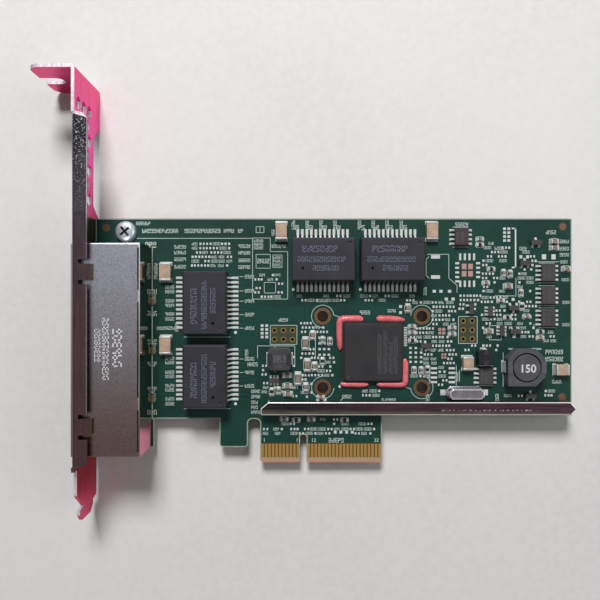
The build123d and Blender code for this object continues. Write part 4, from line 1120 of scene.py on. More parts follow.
# Painted reflections: the pink bench along the tab, lobe and tongue, and the board between.
painted_bench_reflection = ((0.0, "#FF4A86"), (0.045, "#FA3C70"), (0.1, "#BE1228"), (0.6, "#E8407E"),
               (0.85, "#FF4CB0"), (1.0, "#FF2C80"))
painted_room_reflection = ((0.14, room_reflection_warm), (0.45, room_reflection_warm), (0.72, room_reflection_grey),
              (0.84, room_reflection_deep))
# Painted highlight on the cut edges, the flange's end and the long edges.
edge_highlight_pale = "#F4E4EA"
edge_highlight_rose = "#C8A8B4"
highlight_fade = 4.0
# Painted glints on the flange.
glint_pale = "#D8D8DE"
crystal_size = 0.45
streak_size = 0.7
bracket_round = 0.2
long_edge = 12.0
bench_low = 3.0
bench_high = 68.6
bracket_low, bracket_high = (corner * 1000 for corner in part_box("bracket"))


def set_stops(ramp, stops):
    """Sets the places and colours of a colour ramp's stops."""
    for step, (place, colour) in enumerate(stops):
        ends = ramp.color_ramp.elements
        stop = ends[step] if step < 2 else ends.new(place)
        stop.position, stop.color = place, linear(colour)


# Bright zinc has a crystalline sparkle and soft streaks where the sheet was rolled.
plating, shader = new_material("bright_zinc_painted_reflections", Specular_IOR_Level=0.25)
where = add_node(plating, "ShaderNodeTexCoord")
axes = add_node(plating, "ShaderNodeSeparateXYZ", links={"Vector": where.outputs["Object"]})
surface = add_node(plating, "ShaderNodeNewGeometry")
facing = add_node(plating, "ShaderNodeSeparateXYZ",
                  links={"Vector": surface.outputs["True Normal"]})

# Faces that look outward or up the card are plain zinc. The others carry a painted reflection
# of the bench at the tab, lobe and tongue, and of the board between them.
bench_side = add_node(plating, "ShaderNodeVectorMath", {"operation": "DOT_PRODUCT",
                                                       1: (1.0, -0.9, 0.0)},
                      {0: surface.outputs["True Normal"]})
outward = add_node(plating, "ShaderNodeMath", {"operation": "LESS_THAN", 1: -0.5},
                   {0: bench_side.outputs["Value"]})
run = add_node(plating, "ShaderNodeMapRange", {1: bracket_low.y * mm, 2: bracket_high.y * mm},
               {"Value": axes.outputs["Y"]})
pink = add_node(plating, "ShaderNodeValToRGB", links={"Fac": run.outputs["Result"]})
set_stops(pink, painted_bench_reflection)
above = add_node(plating, "ShaderNodeMath", {"operation": "GREATER_THAN", 1: bench_high * mm},
                 {0: axes.outputs["Y"]})
under = add_node(plating, "ShaderNodeMath", {"operation": "LESS_THAN", 1: bench_low * mm},
                 {0: axes.outputs["Y"]})
ends = add_node(plating, "ShaderNodeMath", {"operation": "ADD"},
                {0: above.outputs["Value"], 1: under.outputs["Value"]})
inner = add_node(plating, "ShaderNodeMix", {"data_type": "RGBA", 6: linear(board_reflection_olive)},
                 {"Factor": ends.outputs["Value"], 7: pink.outputs["Color"]})

# Cut edges that look up carry a pale painted highlight.
side_on = add_node(plating, "ShaderNodeMath", {"operation": "COMPARE", 1: 0.0, 2: 0.5},
                   {0: facing.outputs["X"]})
risen = add_node(plating, "ShaderNodeMath", {"operation": "GREATER_THAN", 1: 0.85},
                 {0: facing.outputs["Z"]})
cut_edge = add_node(plating, "ShaderNodeMath", {"operation": "MULTIPLY"},
                    {0: side_on.outputs["Value"], 1: risen.outputs["Value"]})
edge_highlight_mask = add_node(plating, "ShaderNodeMath", {"operation": "MULTIPLY"},
                     {0: cut_edge.outputs["Value"], 1: ends.outputs["Value"]})
rimmed = add_node(plating, "ShaderNodeMix", {"data_type": "RGBA", 7: linear(edge_highlight_pale)},
                  {"Factor": edge_highlight_mask.outputs["Value"], 6: inner.outputs[2]})
sheet = add_node(plating, "ShaderNodeMix", {"data_type": "RGBA", 7: linear(zinc_grey)},
                 {"Factor": outward.outputs["Value"], 6: rimmed.outputs[2]})

# The flange carries a painted reflection of the dark room, which makes it gunmetal, with a
# pale painted highlight on its slanted end.
high = add_node(plating, "ShaderNodeMath", {"operation": "GREATER_THAN", 1: flange_level * mm},
                {0: axes.outputs["Z"]})
low = add_node(plating, "ShaderNodeMath", {"operation": "LESS_THAN", 1: flange_end * mm},
               {0: axes.outputs["Y"]})
flange = add_node(plating, "ShaderNodeMath", {"operation": "MULTIPLY"},
                  {0: high.outputs["Value"], 1: low.outputs["Value"]})
dark = add_node(plating, "ShaderNodeValToRGB", links={"Fac": run.outputs["Result"]})
set_stops(dark, painted_room_reflection)
slant = add_node(plating, "ShaderNodeMath", {"operation": "MULTIPLY_ADD", 1: flange_slant},
                 {0: axes.outputs["X"], 2: axes.outputs["Y"]})
tip = add_node(plating, "ShaderNodeMath", {"operation": "GREATER_THAN",
                                           1: (flange_end + 0.15
                                               - flange_corner * flange_slant) * mm},
               {0: slant.outputs["Value"]})
skin = add_node(plating, "ShaderNodeMix", {"data_type": "RGBA", 7: linear(edge_highlight_pale)},
                {"Factor": tip.outputs["Value"], 6: dark.outputs["Color"]})
coat = add_node(plating, "ShaderNodeMix", {"data_type": "RGBA"},
                {"Factor": flange.outputs["Value"], 6: sheet.outputs[2], 7: skin.outputs[2]})

# The crystals and streaks vary the tone, and put painted glints as specks on the upper
# part of the flange.
crystals = add_node(plating, "ShaderNodeTexNoise", {"Scale": per_metre(crystal_size),
                                                    "Detail": 3.0, "Roughness": 0.75},
                    {"Vector": where.outputs["Object"]})
streaks = add_node(plating, "ShaderNodeMapping", {"Scale": (1.0, 0.08, 1.0)},
                   {"Vector": where.outputs["Object"]})
rolled = add_node(plating, "ShaderNodeTexNoise", {"Scale": per_metre(streak_size), "Detail": 2.0},
                  {"Vector": streaks.outputs["Vector"]})
sparkle = add_node(plating, "ShaderNodeMath", {"operation": "MULTIPLY"},
                   {0: crystals.outputs["Fac"], 1: rolled.outputs["Fac"]})
level = add_node(plating, "ShaderNodeMapRange", {1: 0.15, 2: 0.4, 3: 0.78, 4: 1.25},
                 {"Value": sparkle.outputs["Value"]})
tone = add_node(plating, "ShaderNodeVectorMath", {"operation": "SCALE"},
                {0: coat.outputs[2], "Scale": level.outputs["Result"]})
glint = add_node(plating, "ShaderNodeMapRange", {1: 0.56, 2: 0.66},
                 {"Value": crystals.outputs["Fac"]})
glint_band = add_node(plating, "ShaderNodeMapRange", {1: 0.68, 2: 0.86},
                   {"Value": run.outputs["Result"]})
glint_specks = add_node(plating, "ShaderNodeMath", {"operation": "MULTIPLY"},
                 {0: glint.outputs["Result"], 1: glint_band.outputs["Result"]})
speck = add_node(plating, "ShaderNodeMath", {"operation": "MULTIPLY"},
                 {0: glint_specks.outputs["Value"], 1: flange.outputs["Value"]})
final = add_node(plating, "ShaderNodeMix", {"data_type": "RGBA", 7: linear(glint_pale)},
                 {"Factor": speck.outputs["Value"], 6: tone.outputs["Vector"]})

# The faces with the painted bench and board reflections are less metallic, so that they keep
# the tint under a pale sky.
solid = add_node(plating, "ShaderNodeMath", {"operation": "SUBTRACT", 0: 1.0},
                 {1: outward.outputs["Value"]})
tinted = add_node(plating, "ShaderNodeMath", {"operation": "MULTIPLY"},
                  {0: solid.outputs["Value"], 1: ends.outputs["Value"]})
metal = add_node(plating, "ShaderNodeMapRange", {3: 0.95, 4: 0.65},
                 {"Value": tinted.outputs["Value"]})
gloss = add_node(plating, "ShaderNodeMapRange", {3: 0.2, 4: 0.45},
                 {"Value": crystals.outputs["Fac"]})
grit = add_node(plating, "ShaderNodeBump", {"Strength": 0.3, "Distance": 0.02 * mm},
                {"Height": crystals.outputs["Fac"]})
feed(plating, shader, Base_Color=final.outputs[2], Roughness=gloss.outputs["Result"],
     Metallic=metal.outputs["Result"], Normal=grit.outputs["Normal"])

# The long edges, cut by the shears, carry a painted highlight. It is pale at the tab and lobe,
# and dimmed by painted shade beside the jack, where they mirror the dark gap.
sheet_edge_highlight = tarnished("sheet_edge_painted_highlight", edge_highlight_pale, edge_highlight_rose, 0.9, 0.3, metallic=0.5)
where = add_node(sheet_edge_highlight, "ShaderNodeTexCoord")
axes = add_node(sheet_edge_highlight, "ShaderNodeSeparateXYZ", links={"Vector": where.outputs["Object"]})
shaded = add_node(sheet_edge_highlight, "ShaderNodeMapRange", {1: (bench_high - highlight_fade) * mm,
                                                  2: bench_high * mm, 3: 0.24, 4: 1.0},
                  {"Value": axes.outputs["Y"]})
dim(sheet_edge_highlight, shaded.outputs["Result"])
dress("bracket", "folded_bracket", plating, bracket_round, edge=sheet_edge_highlight,
      least=long_edge)

# Bracket screw
# A cross-headed pan screw, rolled from steel wire and nickel plated, holds the bracket's ear
# under the board.
screw_low, screw_high = (corner * 1000 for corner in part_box("bracket_screw"))
screw_x = (screw_low.x + screw_high.x) / 2
screw_y = (screw_low.y + screw_high.y) / 2
head_radius = (screw_high.x - screw_low.x) / 2
head_height = screw_high.z - board_top
shank_radius = 1.45
cross_span = 1.9
cross_width = 0.75
cross_depth = 1.3
cross_turn = 0.7
cross_taper = 0.5
rim_height = 0.45
crown_steps = 8
crown_swell = (0.45, 0.8)
head_steps = 48
shank_steps = 32
screw_bright = "#EEF2F8"
screw_dull = "#A4ACB8"
# Painted shade in the cross recess.
recess_shade_blue = "#5C6C84"
recess_shade_dark = "#3C4454"
thread_pitch = 0.5
thread_depth = 0.22
tip_chamfer = 0.3
recess_low = 0.5
recess_floor = 0.6


def add_spindle(shape, profile, steps):
    """Spins an open profile of radius and height points round the screw's axis."""
    points = [shape.verts.new((screw_x + radius, screw_y, z)) for radius, z in profile]
    edges = [shape.edges.new(pair) for pair in zip(points, points[1:])]
    bmesh.ops.spin(shape, geom=points + edges, cent=(screw_x, screw_y, 0), axis=(0, 0, 1),
                   steps=steps, angle=2 * math.pi, use_merge=True)
    bmesh.ops.remove_doubles(shape, verts=shape.verts, dist=weld)
    bmesh.ops.recalc_face_normals(shape, faces=shape.faces)


# Bright nickel is cool and glossy, with a faint tarnish.
screw_plating = tarnished("bright_nickel_on_steel", screw_bright, screw_dull, 1.5, 0.3,
                          metallic=0.75)
screw = bmesh.new()
profile = [(0.0, board_top), (head_radius, board_top), (head_radius, board_top + rim_height)]
for step in range(1, crown_steps + 1):
    angle = math.pi / 2 * step / crown_steps
    radius = head_radius * math.cos(angle) ** crown_swell[0] if step < crown_steps else 0.0
    profile.append((radius, board_top + rim_height
                    + (head_height - rim_height) * math.sin(angle) ** crown_swell[1]))
add_spindle(screw, profile, head_steps)
cutter = bmesh.new()
for turn in (cross_turn, cross_turn + math.pi / 2):
    arm = add_box(cutter, (screw_x - cross_span, screw_x + cross_span),
                  (screw_y - cross_width / 2, screw_y + cross_width / 2),
                  (screw_high.z - cross_depth, screw_high.z + 0.5), turn)
    for vert in arm:
        if vert.co.z < screw_high.z:
            vert.co.x = screw_x + (vert.co.x - screw_x) * cross_taper
            vert.co.y = screw_y + (vert.co.y - screw_y) * cross_taper

# The cross is cut out of the head by a boolean, and the shank is added after the cut.
head_mesh = bpy.data.meshes.new("screw_head")
screw.to_mesh(head_mesh)
cutter_mesh = bpy.data.meshes.new("screw_cutter")
cutter.to_mesh(cutter_mesh)
head_blank = bpy.data.objects.new("screw_blank", head_mesh)
cross_tool = bpy.data.objects.new("screw_cutter", cutter_mesh)
bpy.context.scene.collection.objects.link(cross_tool)
recess = head_blank.modifiers.new("cross_recess", "BOOLEAN")
recess.operation = "DIFFERENCE"
recess.use_self = True
recess.object = cross_tool
screw.free()
cutter.free()
screw = bmesh.new()
screw.from_mesh(mesh_from(head_blank))
bpy.data.objects.remove(cross_tool)
z = screw_low.z + tip_chamfer
shank = [(0.0, screw_low.z), (shank_radius - tip_chamfer, screw_low.z), (shank_radius, z)]
while z + thread_pitch < board_top:
    shank += [(shank_radius - thread_depth, z + thread_pitch / 2), (shank_radius, z + thread_pitch)]
    z += thread_pitch
shank += [(shank_radius, board_top + 0.1), (0.0, board_top + 0.1)]
add_spindle(screw, shank, shank_steps)

# The walls and floor of the recess are given a darker painted shade.
for face in screw.faces:
    centre = face.calc_center_median()
    off_axis = math.hypot(centre.x - screw_x, centre.y - screw_y)
    inside = centre.z > board_top + recess_low
    wall = inside and face.normal.z < 0.6 and off_axis < cross_span * 1.02
    base = inside and centre.z < screw_high.z - recess_floor and off_axis < cross_span * 0.5
    face.material_index = 1 if wall or base else 0
recess_painted_shade = tarnished("nickel_recess_painted_shade", recess_shade_blue, recess_shade_dark, 0.8, 0.35,
                          metallic=0.6)
head = place_piece("cross_head_screw", screw, screw_plating, ("bracket_screw",))
head.data.materials.append(recess_painted_shade)

# Stiffener bar
# A channel of zinc-plated steel, crimped and soldered along the lower edge to keep the long
# card straight. Its top carries a painted reflection of the dark room, with a painted highlight
# along its upper bend.
bar_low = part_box("stiffener_bar")[0] * 1000
# Painted reflections of the room and the board, and painted glints on the dents.
bar_room_reflection_dark = "#3E3A3E"
bar_room_reflection_plum = "#60454E"
bar_board_reflection = "#8A8470"
bar_dent_glint = "#D0C4C8"
# Painted highlight on the bends.
bend_highlight_white = "#FFFFFF"
bend_highlight_grey = "#D8D6D6"
bar_edge = 0.24
bar_run = (-10.0, 70.0)
strip_start = 0.2
strip_widths = (1.6, 0.7)
plum_from = 24.0
drawn_size = 0.6
dent_size = 0.5
dents_line = 1.35
dents_reach = 0.2
dents_middle = 51.0
dents_half = 13.0

# Dulled zinc is drawn lengthwise. Its dark top, plum to the right, is a painted reflection of
# the room. A painted reflection of the board lies as an olive strip along its lower side,
# narrower to the right, and a row of dents in its middle carries painted glints.
bar_plating, shader = new_material("dulled_zinc_painted_reflections", Metallic=1.0)
where = add_node(bar_plating, "ShaderNodeTexCoord")
axes = add_node(bar_plating, "ShaderNodeSeparateXYZ", links={"Vector": where.outputs["Object"]})
wane = add_node(bar_plating, "ShaderNodeMapRange", {1: bar_run[0] * mm, 2: bar_run[1] * mm,
                                                    3: strip_widths[0], 4: strip_widths[1]},
                {"Value": axes.outputs["X"]})
rise = add_node(bar_plating, "ShaderNodeMath", {"operation": "SUBTRACT",
                                                1: (bar_low.y + strip_start) * mm},
                {0: axes.outputs["Y"]})
share = add_node(bar_plating, "ShaderNodeMath", {"operation": "DIVIDE"},
                 {0: rise.outputs["Value"], 1: wane.outputs["Result"]})
band = add_node(bar_plating, "ShaderNodeMapRange", {1: 0.0, 2: 1.0 * mm},
                {"Value": share.outputs["Value"]})
stretched = add_node(bar_plating, "ShaderNodeMapping", {"Scale": (0.08, 1.0, 1.0)},
                     {"Vector": where.outputs["Object"]})
drawn = add_node(bar_plating, "ShaderNodeTexNoise", {"Scale": per_metre(drawn_size), "Detail": 3.0},
                 {"Vector": stretched.outputs["Vector"]})
along = add_node(bar_plating, "ShaderNodeMapRange", {1: 0.0, 2: plum_from * mm},
                 {"Value": axes.outputs["X"]})
gloom = add_node(bar_plating, "ShaderNodeMix", {"data_type": "RGBA", 6: linear(bar_room_reflection_dark),
                                                7: linear(bar_room_reflection_plum)},
                 {"Factor": along.outputs["Result"]})
tone = add_node(bar_plating, "ShaderNodeMix", {"data_type": "RGBA", 6: linear(bar_board_reflection)},
                {"Factor": band.outputs["Result"], 7: gloom.outputs[2]})
dots = add_node(bar_plating, "ShaderNodeTexNoise", {"Scale": per_metre(dent_size), "Detail": 1.0},
                {"Vector": where.outputs["Object"]})
row = add_node(bar_plating, "ShaderNodeMath", {"operation": "COMPARE",
                                               1: (bar_low.y + dents_line) * mm,
                                               2: dents_reach * mm},
               {0: axes.outputs["Y"]})
middle = add_node(bar_plating, "ShaderNodeMath", {"operation": "COMPARE", 1: dents_middle * mm,
                                                  2: dents_half * mm},
                  {0: axes.outputs["X"]})
here = add_node(bar_plating, "ShaderNodeMath", {"operation": "MULTIPLY"},
                {0: row.outputs["Value"], 1: middle.outputs["Value"]})
bright = add_node(bar_plating, "ShaderNodeMapRange", {1: 0.52, 2: 0.66},
                  {"Value": dots.outputs["Fac"]})
glints = add_node(bar_plating, "ShaderNodeMath", {"operation": "MULTIPLY"},
                  {0: here.outputs["Value"], 1: bright.outputs["Result"]})
lit = add_node(bar_plating, "ShaderNodeMix", {"data_type": "RGBA", 7: linear(bar_dent_glint)},
               {"Factor": glints.outputs["Value"], 6: tone.outputs[2]})
level = add_node(bar_plating, "ShaderNodeMapRange", {1: 0.3, 2: 0.7, 3: 0.75, 4: 1.25},
                 {"Value": drawn.outputs["Fac"]})
shaded = add_node(bar_plating, "ShaderNodeVectorMath", {"operation": "SCALE"},
                  {0: lit.outputs[2], "Scale": level.outputs["Result"]})
gloss = add_node(bar_plating, "ShaderNodeMapRange", {3: 0.22, 4: 0.4},
                 {"Value": drawn.outputs["Fac"]})
feed(bar_plating, shader, Base_Color=shaded.outputs["Vector"], Roughness=gloss.outputs["Result"])

# The bends carry a bright painted highlight.
bend_highlight = tarnished("zinc_bend_painted_highlight", bend_highlight_white, bend_highlight_grey, 2.0, 0.25,
                        metallic=0.3)
dress("stiffener_bar", "stiffener_channel", bar_plating, bar_edge, edge=bend_highlight)

# Controller chip
# A black moulded cover on a thin laminate carrier, which rests on rows of solder balls.
cover_grey = "#28282A"
cover_pale = "#343032"
carrier_brown = "#2A2624"
carrier_pale = "#33302C"
etch_grey = "#5A5A5E"
etch_dark = "#454549"
etch_rise = 0.008
etch_height = 1.1
etch_start = 5.8
etch_columns = ((2.3, 15), (3.9, 16), (5.4, 12), (6.8, 14))
corner_dot = (1.3, 0.25)
cover_round = 0.06
cover_low, cover_high = (corner * 1000 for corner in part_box("controller_cover"))

# Moulded epoxy has a fine even grain, as dull as slate.
cover_epoxy = moulded("black_moulding_epoxy", cover_grey, cover_pale, 0.14, 0.48)
dress("controller_cover", "controller_lid", cover_epoxy, cover_round)

# The carrier is brown laminate, with a coarser grain than the cover.
carrier = moulded("carrier_laminate", carrier_brown, carrier_pale, 0.3, 0.45)
finish_node("controller_substrate", carrier)

# Reflowed solder is bright and smooth.
ball_solder = tarnished("reflowed_solder", tin_bright, tin_dull, 0.8, 0.3)
finish_node("controller_balls", ball_solder)

# A laser burns epoxy to a matt grey. The marks here are rows of plain strokes.
etched = tarnished("laser_etched_epoxy", etch_grey, etch_dark, 0.6, 0.6, metallic=0.0)
etching = bmesh.new()
lid_top = cover_high.z
for column, count in etch_columns:
    add_marks(etching, heatsink_middle[0] + column, heatsink_middle[1] - etch_start, count,
              etch_height, lid_top, lid_top + etch_rise, 90)
add_disc(etching, cover_low.x + corner_dot[0], cover_low.y + corner_dot[0], corner_dot[1], lid_top,
         lid_top + etch_rise, steps=16)
place_piece("controller_etching", etching, etched)

# Corner bond
# Beads of red thixotropic epoxy, run along the chip's corners by a needle, hold it to the
# board through knocks and heat. They slump into soft ridges.
bond_red = "#E2787E"
bond_deep = "#C4525C"
bond_sink = 0.32
bond_beads = (
    ((-9.1, 0.6, 0.3), (-9.15, 1.6, 0.8), (-9.25, 4.5, 0.92), (-9.25, 8.0, 0.95), (-9.0, 8.95, 1.0),
     (-8.1, 9.3, 1.02), (-5.5, 9.35, 1.0), (-3.6, 9.3, 0.98), (-2.7, 9.1, 0.6)),
    ((1.2, 9.1, 0.6), (2.0, 9.35, 0.98), (5.0, 9.3, 0.95), (7.6, 9.15, 0.8), (9.0, 9.0, 0.4)),
    ((-9.0, -8.9, 0.4), (-8.2, -9.05, 0.78), (-4.5, -9.1, 0.85), (-2.2, -9.1, 0.8),
     (-1.2, -9.0, 0.4)),
    ((1.2, -9.0, 0.4), (2.2, -9.1, 0.8), (5.5, -9.15, 0.88), (8.2, -9.15, 0.92),
     (8.95, -8.9, 0.95), (9.15, -8.1, 0.95), (9.2, -5.0, 0.92), (9.2, -3.0, 0.88),
     (9.1, -1.9, 0.4)),
)

# The resin is waxy and a little see-through, so light spreads inside it.
bond_resin = moulded("red_thixotropic_epoxy", bond_red, bond_deep, 0.7, 0.36, 0.4, 2.5)
shader = bond_resin.node_tree.nodes["Principled BSDF"]
shader.inputs["Subsurface Weight"].default_value = 0.25
shader.inputs["Subsurface Scale"].default_value = 0.6 * mm
shader.inputs["Coat Weight"].default_value = 0.3
beads = bmesh.new()
for route in bond_beads:
    curve = bpy.data.curves.new("bead", "CURVE")
    curve.dimensions = "3D"
    curve.bevel_depth = 1.0
    curve.bevel_resolution = 5
    curve.use_fill_caps = True
    spline = curve.splines.new("POLY")
    spline.points.add(len(route) - 1)
    for point, (x, y, radius) in zip(spline.points, route):
        point.co = (heatsink_middle[0] + x, heatsink_middle[1] + y, board_top + bond_sink, 1)
        point.radius = radius
    beads.from_mesh(mesh_from(bpy.data.objects.new("bead", curve)))
bmesh.ops.remove_doubles(beads, verts=beads.verts, dist=weld)
cut = bmesh.ops.bisect_plane(beads, geom=beads.verts[:] + beads.edges[:] + beads.faces[:],
                             plane_co=(0, 0, board_top), plane_no=(0, 0, -1), clear_outer=True)
bmesh.ops.holes_fill(beads, edges=[item for item in cut["geom_cut"]
                                   if isinstance(item, bmesh.types.BMEdge)])
bmesh.ops.recalc_face_normals(beads, faces=beads.faces)
place_piece("corner_bond_beads", beads, bond_resin, ("corner_bond",), 60)

# Line transformers
# Each block holds a port's toroids, potted in black epoxy, with twelve gull-wing leads a side.
# Their marks are rows of plain strokes here.
case_black = "#26262D"
case_grey = "#32323A"
case_round = 0.16
print_grey = "#74748A"
print_worn = "#4E4E5C"
stamp_rows = ((2.85, -0.7, 1.8, 8), (0.0, -0.3, 1.5, 13), (-2.4, 0.8, 1.5, 7))
stamp_rise = 0.01
stamp_dot = 0.3
stamp_corner = (2.4, 5.6)
lead_bright = "#EDEDEC"
lead_dull = "#B4B2B0"

# Potting epoxy is dull and slightly uneven.
case_epoxy = moulded("transformer_potting_epoxy", case_black, case_grey, 0.2, 0.55, 0.25, 5.0)

# Matt tin, with painted shade: pale where it faces the lamp, and painted dark where it turns
# away from it.
lead_tin_painted_shade = tarnished("matte_tin_painted_shade", lead_bright, lead_dull, 0.7, 0.32, metallic=0.15)
surface = add_node(lead_tin_painted_shade, "ShaderNodeNewGeometry")
facing = add_node(lead_tin_painted_shade, "ShaderNodeSeparateXYZ",
                  links={"Vector": surface.outputs["True Normal"]})
away = add_node(lead_tin_painted_shade, "ShaderNodeMapRange", {1: -0.5, 2: -0.1, 3: 0.22, 4: 1.0},
                {"Value": facing.outputs["Y"]})
dim(lead_tin_painted_shade, away.outputs["Result"])

# Stamped ink soaks into the epoxy and stays faint.
case_ink = tarnished("stamped_grey_ink", print_grey, print_worn, 0.5, 0.6, metallic=0.0)
stamps = bmesh.new()
for number in range(1, 5):
    node = f"transformer_case_{number}"
    dress(node, f"transformer_block_{number}", case_epoxy, case_round)
    finish_node(f"transformer_leads_{number}", lead_tin_painted_shade)
    low, high = (corner * 1000 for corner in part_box(node))
    middle = (low + high) / 2
    for offset, shift, height, count in stamp_rows:
        half = count * height * letter_share / 2 - shift
        if high.x - low.x < high.y - low.y:
            add_marks(stamps, middle.x - offset + height * cell_share, middle.y - half, count,
                      height, high.z, high.z + stamp_rise, 90)
            dot = (middle.x + stamp_corner[0], middle.y - stamp_corner[1])
        else:
            add_marks(stamps, middle.x - half, middle.y + offset - height * cell_share, count,
                      height, high.z, high.z + stamp_rise)
            dot = (middle.x - stamp_corner[1], middle.y - stamp_corner[0])
        add_box(stamps, (dot[0] - stamp_dot, dot[0] + stamp_dot),
                (dot[1] - stamp_dot, dot[1] + stamp_dot), (high.z, high.z + stamp_rise),
                math.pi / 4)
place_piece("transformer_stamps", stamps, case_ink)

# Eight-lead chips
# Flash memory, drivers and regulator come in the same narrow moulded package, with four
# bent leads a side.
outline_grey = "#3A383A"
outline_pale = "#4A4648"
flash_plum = "#3A2E34"
flash_pale = "#4A3C42"
mark_lines = (0.55, -0.75)
mark_count = 5
mark_height = 0.85
mark_half = 1.5
mark_drop = 0.3
outline_round = 0.06

# Small mouldings have a fine grain. The flash memory's has aged to a plum brown.
soic_epoxy = moulded("small_outline_moulding", outline_grey, outline_pale, 0.12, 0.5)
flash_epoxy = moulded("aged_outline_moulding", flash_plum, flash_pale, 0.12, 0.5)
for node, name in (("flash_memory", "flash_memory_package"),
                   ("line_driver", "line_driver_packages"), ("regulator", "regulator_package")):
    dress(f"{node}_body", name, flash_epoxy if node == "flash_memory" else soic_epoxy,
          outline_round)
    finish_node(f"{node}_leads", lead_tin_painted_shade)
soic_marks = bmesh.new()
for node in ("flash_memory_body", "line_driver_body", "regulator_body"):
    for low, high in solids(node):
        middle = (low + high) / 2
        for line in mark_lines:
            if long_axis(low, high) == 0:
                place, turn = (middle.x - mark_half, middle.y + line - mark_drop), 0
            else:
                place, turn = (middle.x - line - mark_drop, middle.y - mark_half), 90
            add_marks(soic_marks, *place, mark_count, mark_height, high.z, high.z + stamp_rise,
                      turn)
place_piece("small_outline_marks", soic_marks, etched)

# Power coil
# A drum of wire sits in a pressed ferrite core with cut corners. Its value is printed on it.
ferrite_grey = "#434347"
ferrite_pale = "#56565A"
# Clip tones darkened as painted shade from the core.
clip_silver_in_shade = "#8C8A8E"
clip_painted_shade = "#66646A"
print_white = "#E2E4E2"
print_soft = "#B4B6B4"
core_round = 0.14
drum_round = 0.1
clip_round = 0.04
value_shift = (0.2, -0.3)
value_height = 2.2
drum_low, drum_high = (corner * 1000 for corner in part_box("power_inductor_drum"))

# Pressed ferrite is sooty and coarse, with pale specks of bare powder.
ferrite = moulded("pressed_ferrite", ferrite_grey, ferrite_pale, 0.35, 0.7, 0.5, 3.0)

# The tinned clips are smooth, and painted a darker grey for the core's shade.
clip_tin_painted_shade = tarnished("tinned_copper_clip_painted_shade", clip_silver_in_shade, clip_painted_shade, 1.0, 0.3)
dress("power_inductor_core", "coil_core", ferrite, core_round)
dress("power_inductor_drum", "coil_drum", ferrite, drum_round)
dress("power_inductor_clips", "coil_clips", clip_tin_painted_shade, clip_round)
coil_print = bmesh.new()
drum_middle = (drum_low + drum_high) / 2
add_text(coil_print, "150", drum_middle.x + value_shift[0], drum_middle.y + value_shift[1],
         value_height, drum_high.z, rise=0.01, bold=0.06)

# White ink lies on the ferrite as a matt film.
white_ink = tarnished("stamped_white_ink", print_white, print_soft, 0.4, 0.6, metallic=0.0)
place_piece("coil_value", coil_print, white_ink)

# Small inductors
# The choke is wire pressed inside iron powder, and the block inductor is wound on ferrite.
# Both have folded clips.
choke_round = 0.22
block_round = 0.12
powder_grey = "#343436"
powder_pale = "#4A484A"
resin_black = "#1A1A1C"
resin_pale = "#262628"
# Painted shade on the folded clips.
clip_shade_grey = "#56565A"
clip_shade_dark = "#3C3C40"
ink_dim = "#6E6E72"
ink_faint = "#4A4A4E"
choke_value_height = 1.8

# Pressed iron powder is grey and grainy, and the block's resin is black and smoother.
iron_powder = moulded("pressed_iron_powder", powder_grey, powder_pale, 0.3, 0.55, 0.4, 2.0)
block_resin = moulded("black_moulding_resin", resin_black, resin_pale, 0.2, 0.4)
dress("choke_body", "choke_block", iron_powder, choke_round, 3)
dress("block_inductor_body", "block_inductor_core", block_resin, block_round)

# The clips are folded under, so they are given a dark painted shade.
shaded_clip = tarnished("copper_clip_painted_shade", clip_shade_grey, clip_shade_dark, 1.0, 0.4)
finish_node("choke_clips", shaded_clip)
finish_node("block_inductor_clips", shaded_clip)
choke_low, choke_high = (corner * 1000 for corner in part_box("choke_body"))
choke_middle = (choke_low + choke_high) / 2
choke_print = bmesh.new()
add_text(choke_print, "3R3", choke_middle.x, choke_middle.y, choke_value_height, choke_high.z,
         rise=0.008)

# Worn ink is thin and grey.
dim_ink = tarnished("worn_grey_ink", ink_dim, ink_faint, 0.4, 0.6, metallic=0.0)
place_piece("choke_value", choke_print, dim_ink)

# Crystal
# A quartz crystal in a welded nickel-silver can, on an insulating foot with flat leads.
can_silver = "#D0C8CA"
can_dull = "#86808A"
can_highlight_white = "#F2F0F2"
can_highlight_grey = "#C0BCC0"
can_round = 0.4
foot_grey = "#4A4648"
foot_pale = "#5C585C"

# Nickel silver is glossy, so the can mirrors the room, with a painted highlight as a bright
# line round its top.
can_metal = tarnished("brushed_nickel_silver", can_silver, can_dull, 2.2, 0.16)
can_edge_highlight = tarnished("can_edge_painted_highlight", can_highlight_white, can_highlight_grey, 0.8, 0.2, metallic=0.8)
dress("crystal_can", "crystal_cover", can_metal, can_round, 3, edge=can_edge_highlight)

# Glass-filled nylon is dark grey and dull.
crystal_foot = moulded("glass_filled_nylon", foot_grey, foot_pale, 0.2, 0.5)
finish_node("crystal_base", crystal_foot)
finish_node("crystal_leads", lead_tin_painted_shade)

# Ceramic capacitors
# Blocks of layered ceramic with fired silver ends, tinned over. Their sawn edges have been
# tumbled soft.
ceramic_tan = "#BEA690"
ceramic_brown = "#9C8472"
ceramic_grey = "#8E847A"
ceramic_dark = "#6C625A"
ceramic_round = 0.1
end_bright = "#E2E0DC"
end_dull = "#A8A4A0"
end_round = 0.12

# Fired ceramic is smooth and faintly speckled, from tan to brown, and greyer on small parts.
ceramic = moulded("fired_tan_ceramic", ceramic_tan, ceramic_brown, 0.25, 0.45, 0.1, 1.6)
grey_ceramic = moulded("fired_grey_ceramic", ceramic_grey, ceramic_dark, 0.25, 0.45, 0.1, 1.6)

# Tin over silver is bright and satin.
end_tin = tarnished("tinned_silver_end", end_bright, end_dull, 0.6, 0.32, metallic=0.4)
for family, body in (("surge_capacitor", ceramic), ("tank_capacitor", ceramic),
                     ("large_chip", grey_ceramic), ("medium_chip", grey_ceramic)):
    dress(f"{family}_bodies", f"{family}_ceramics", body, ceramic_round)
    dress(f"{family}_ends", f"{family}_caps", end_tin, end_round)

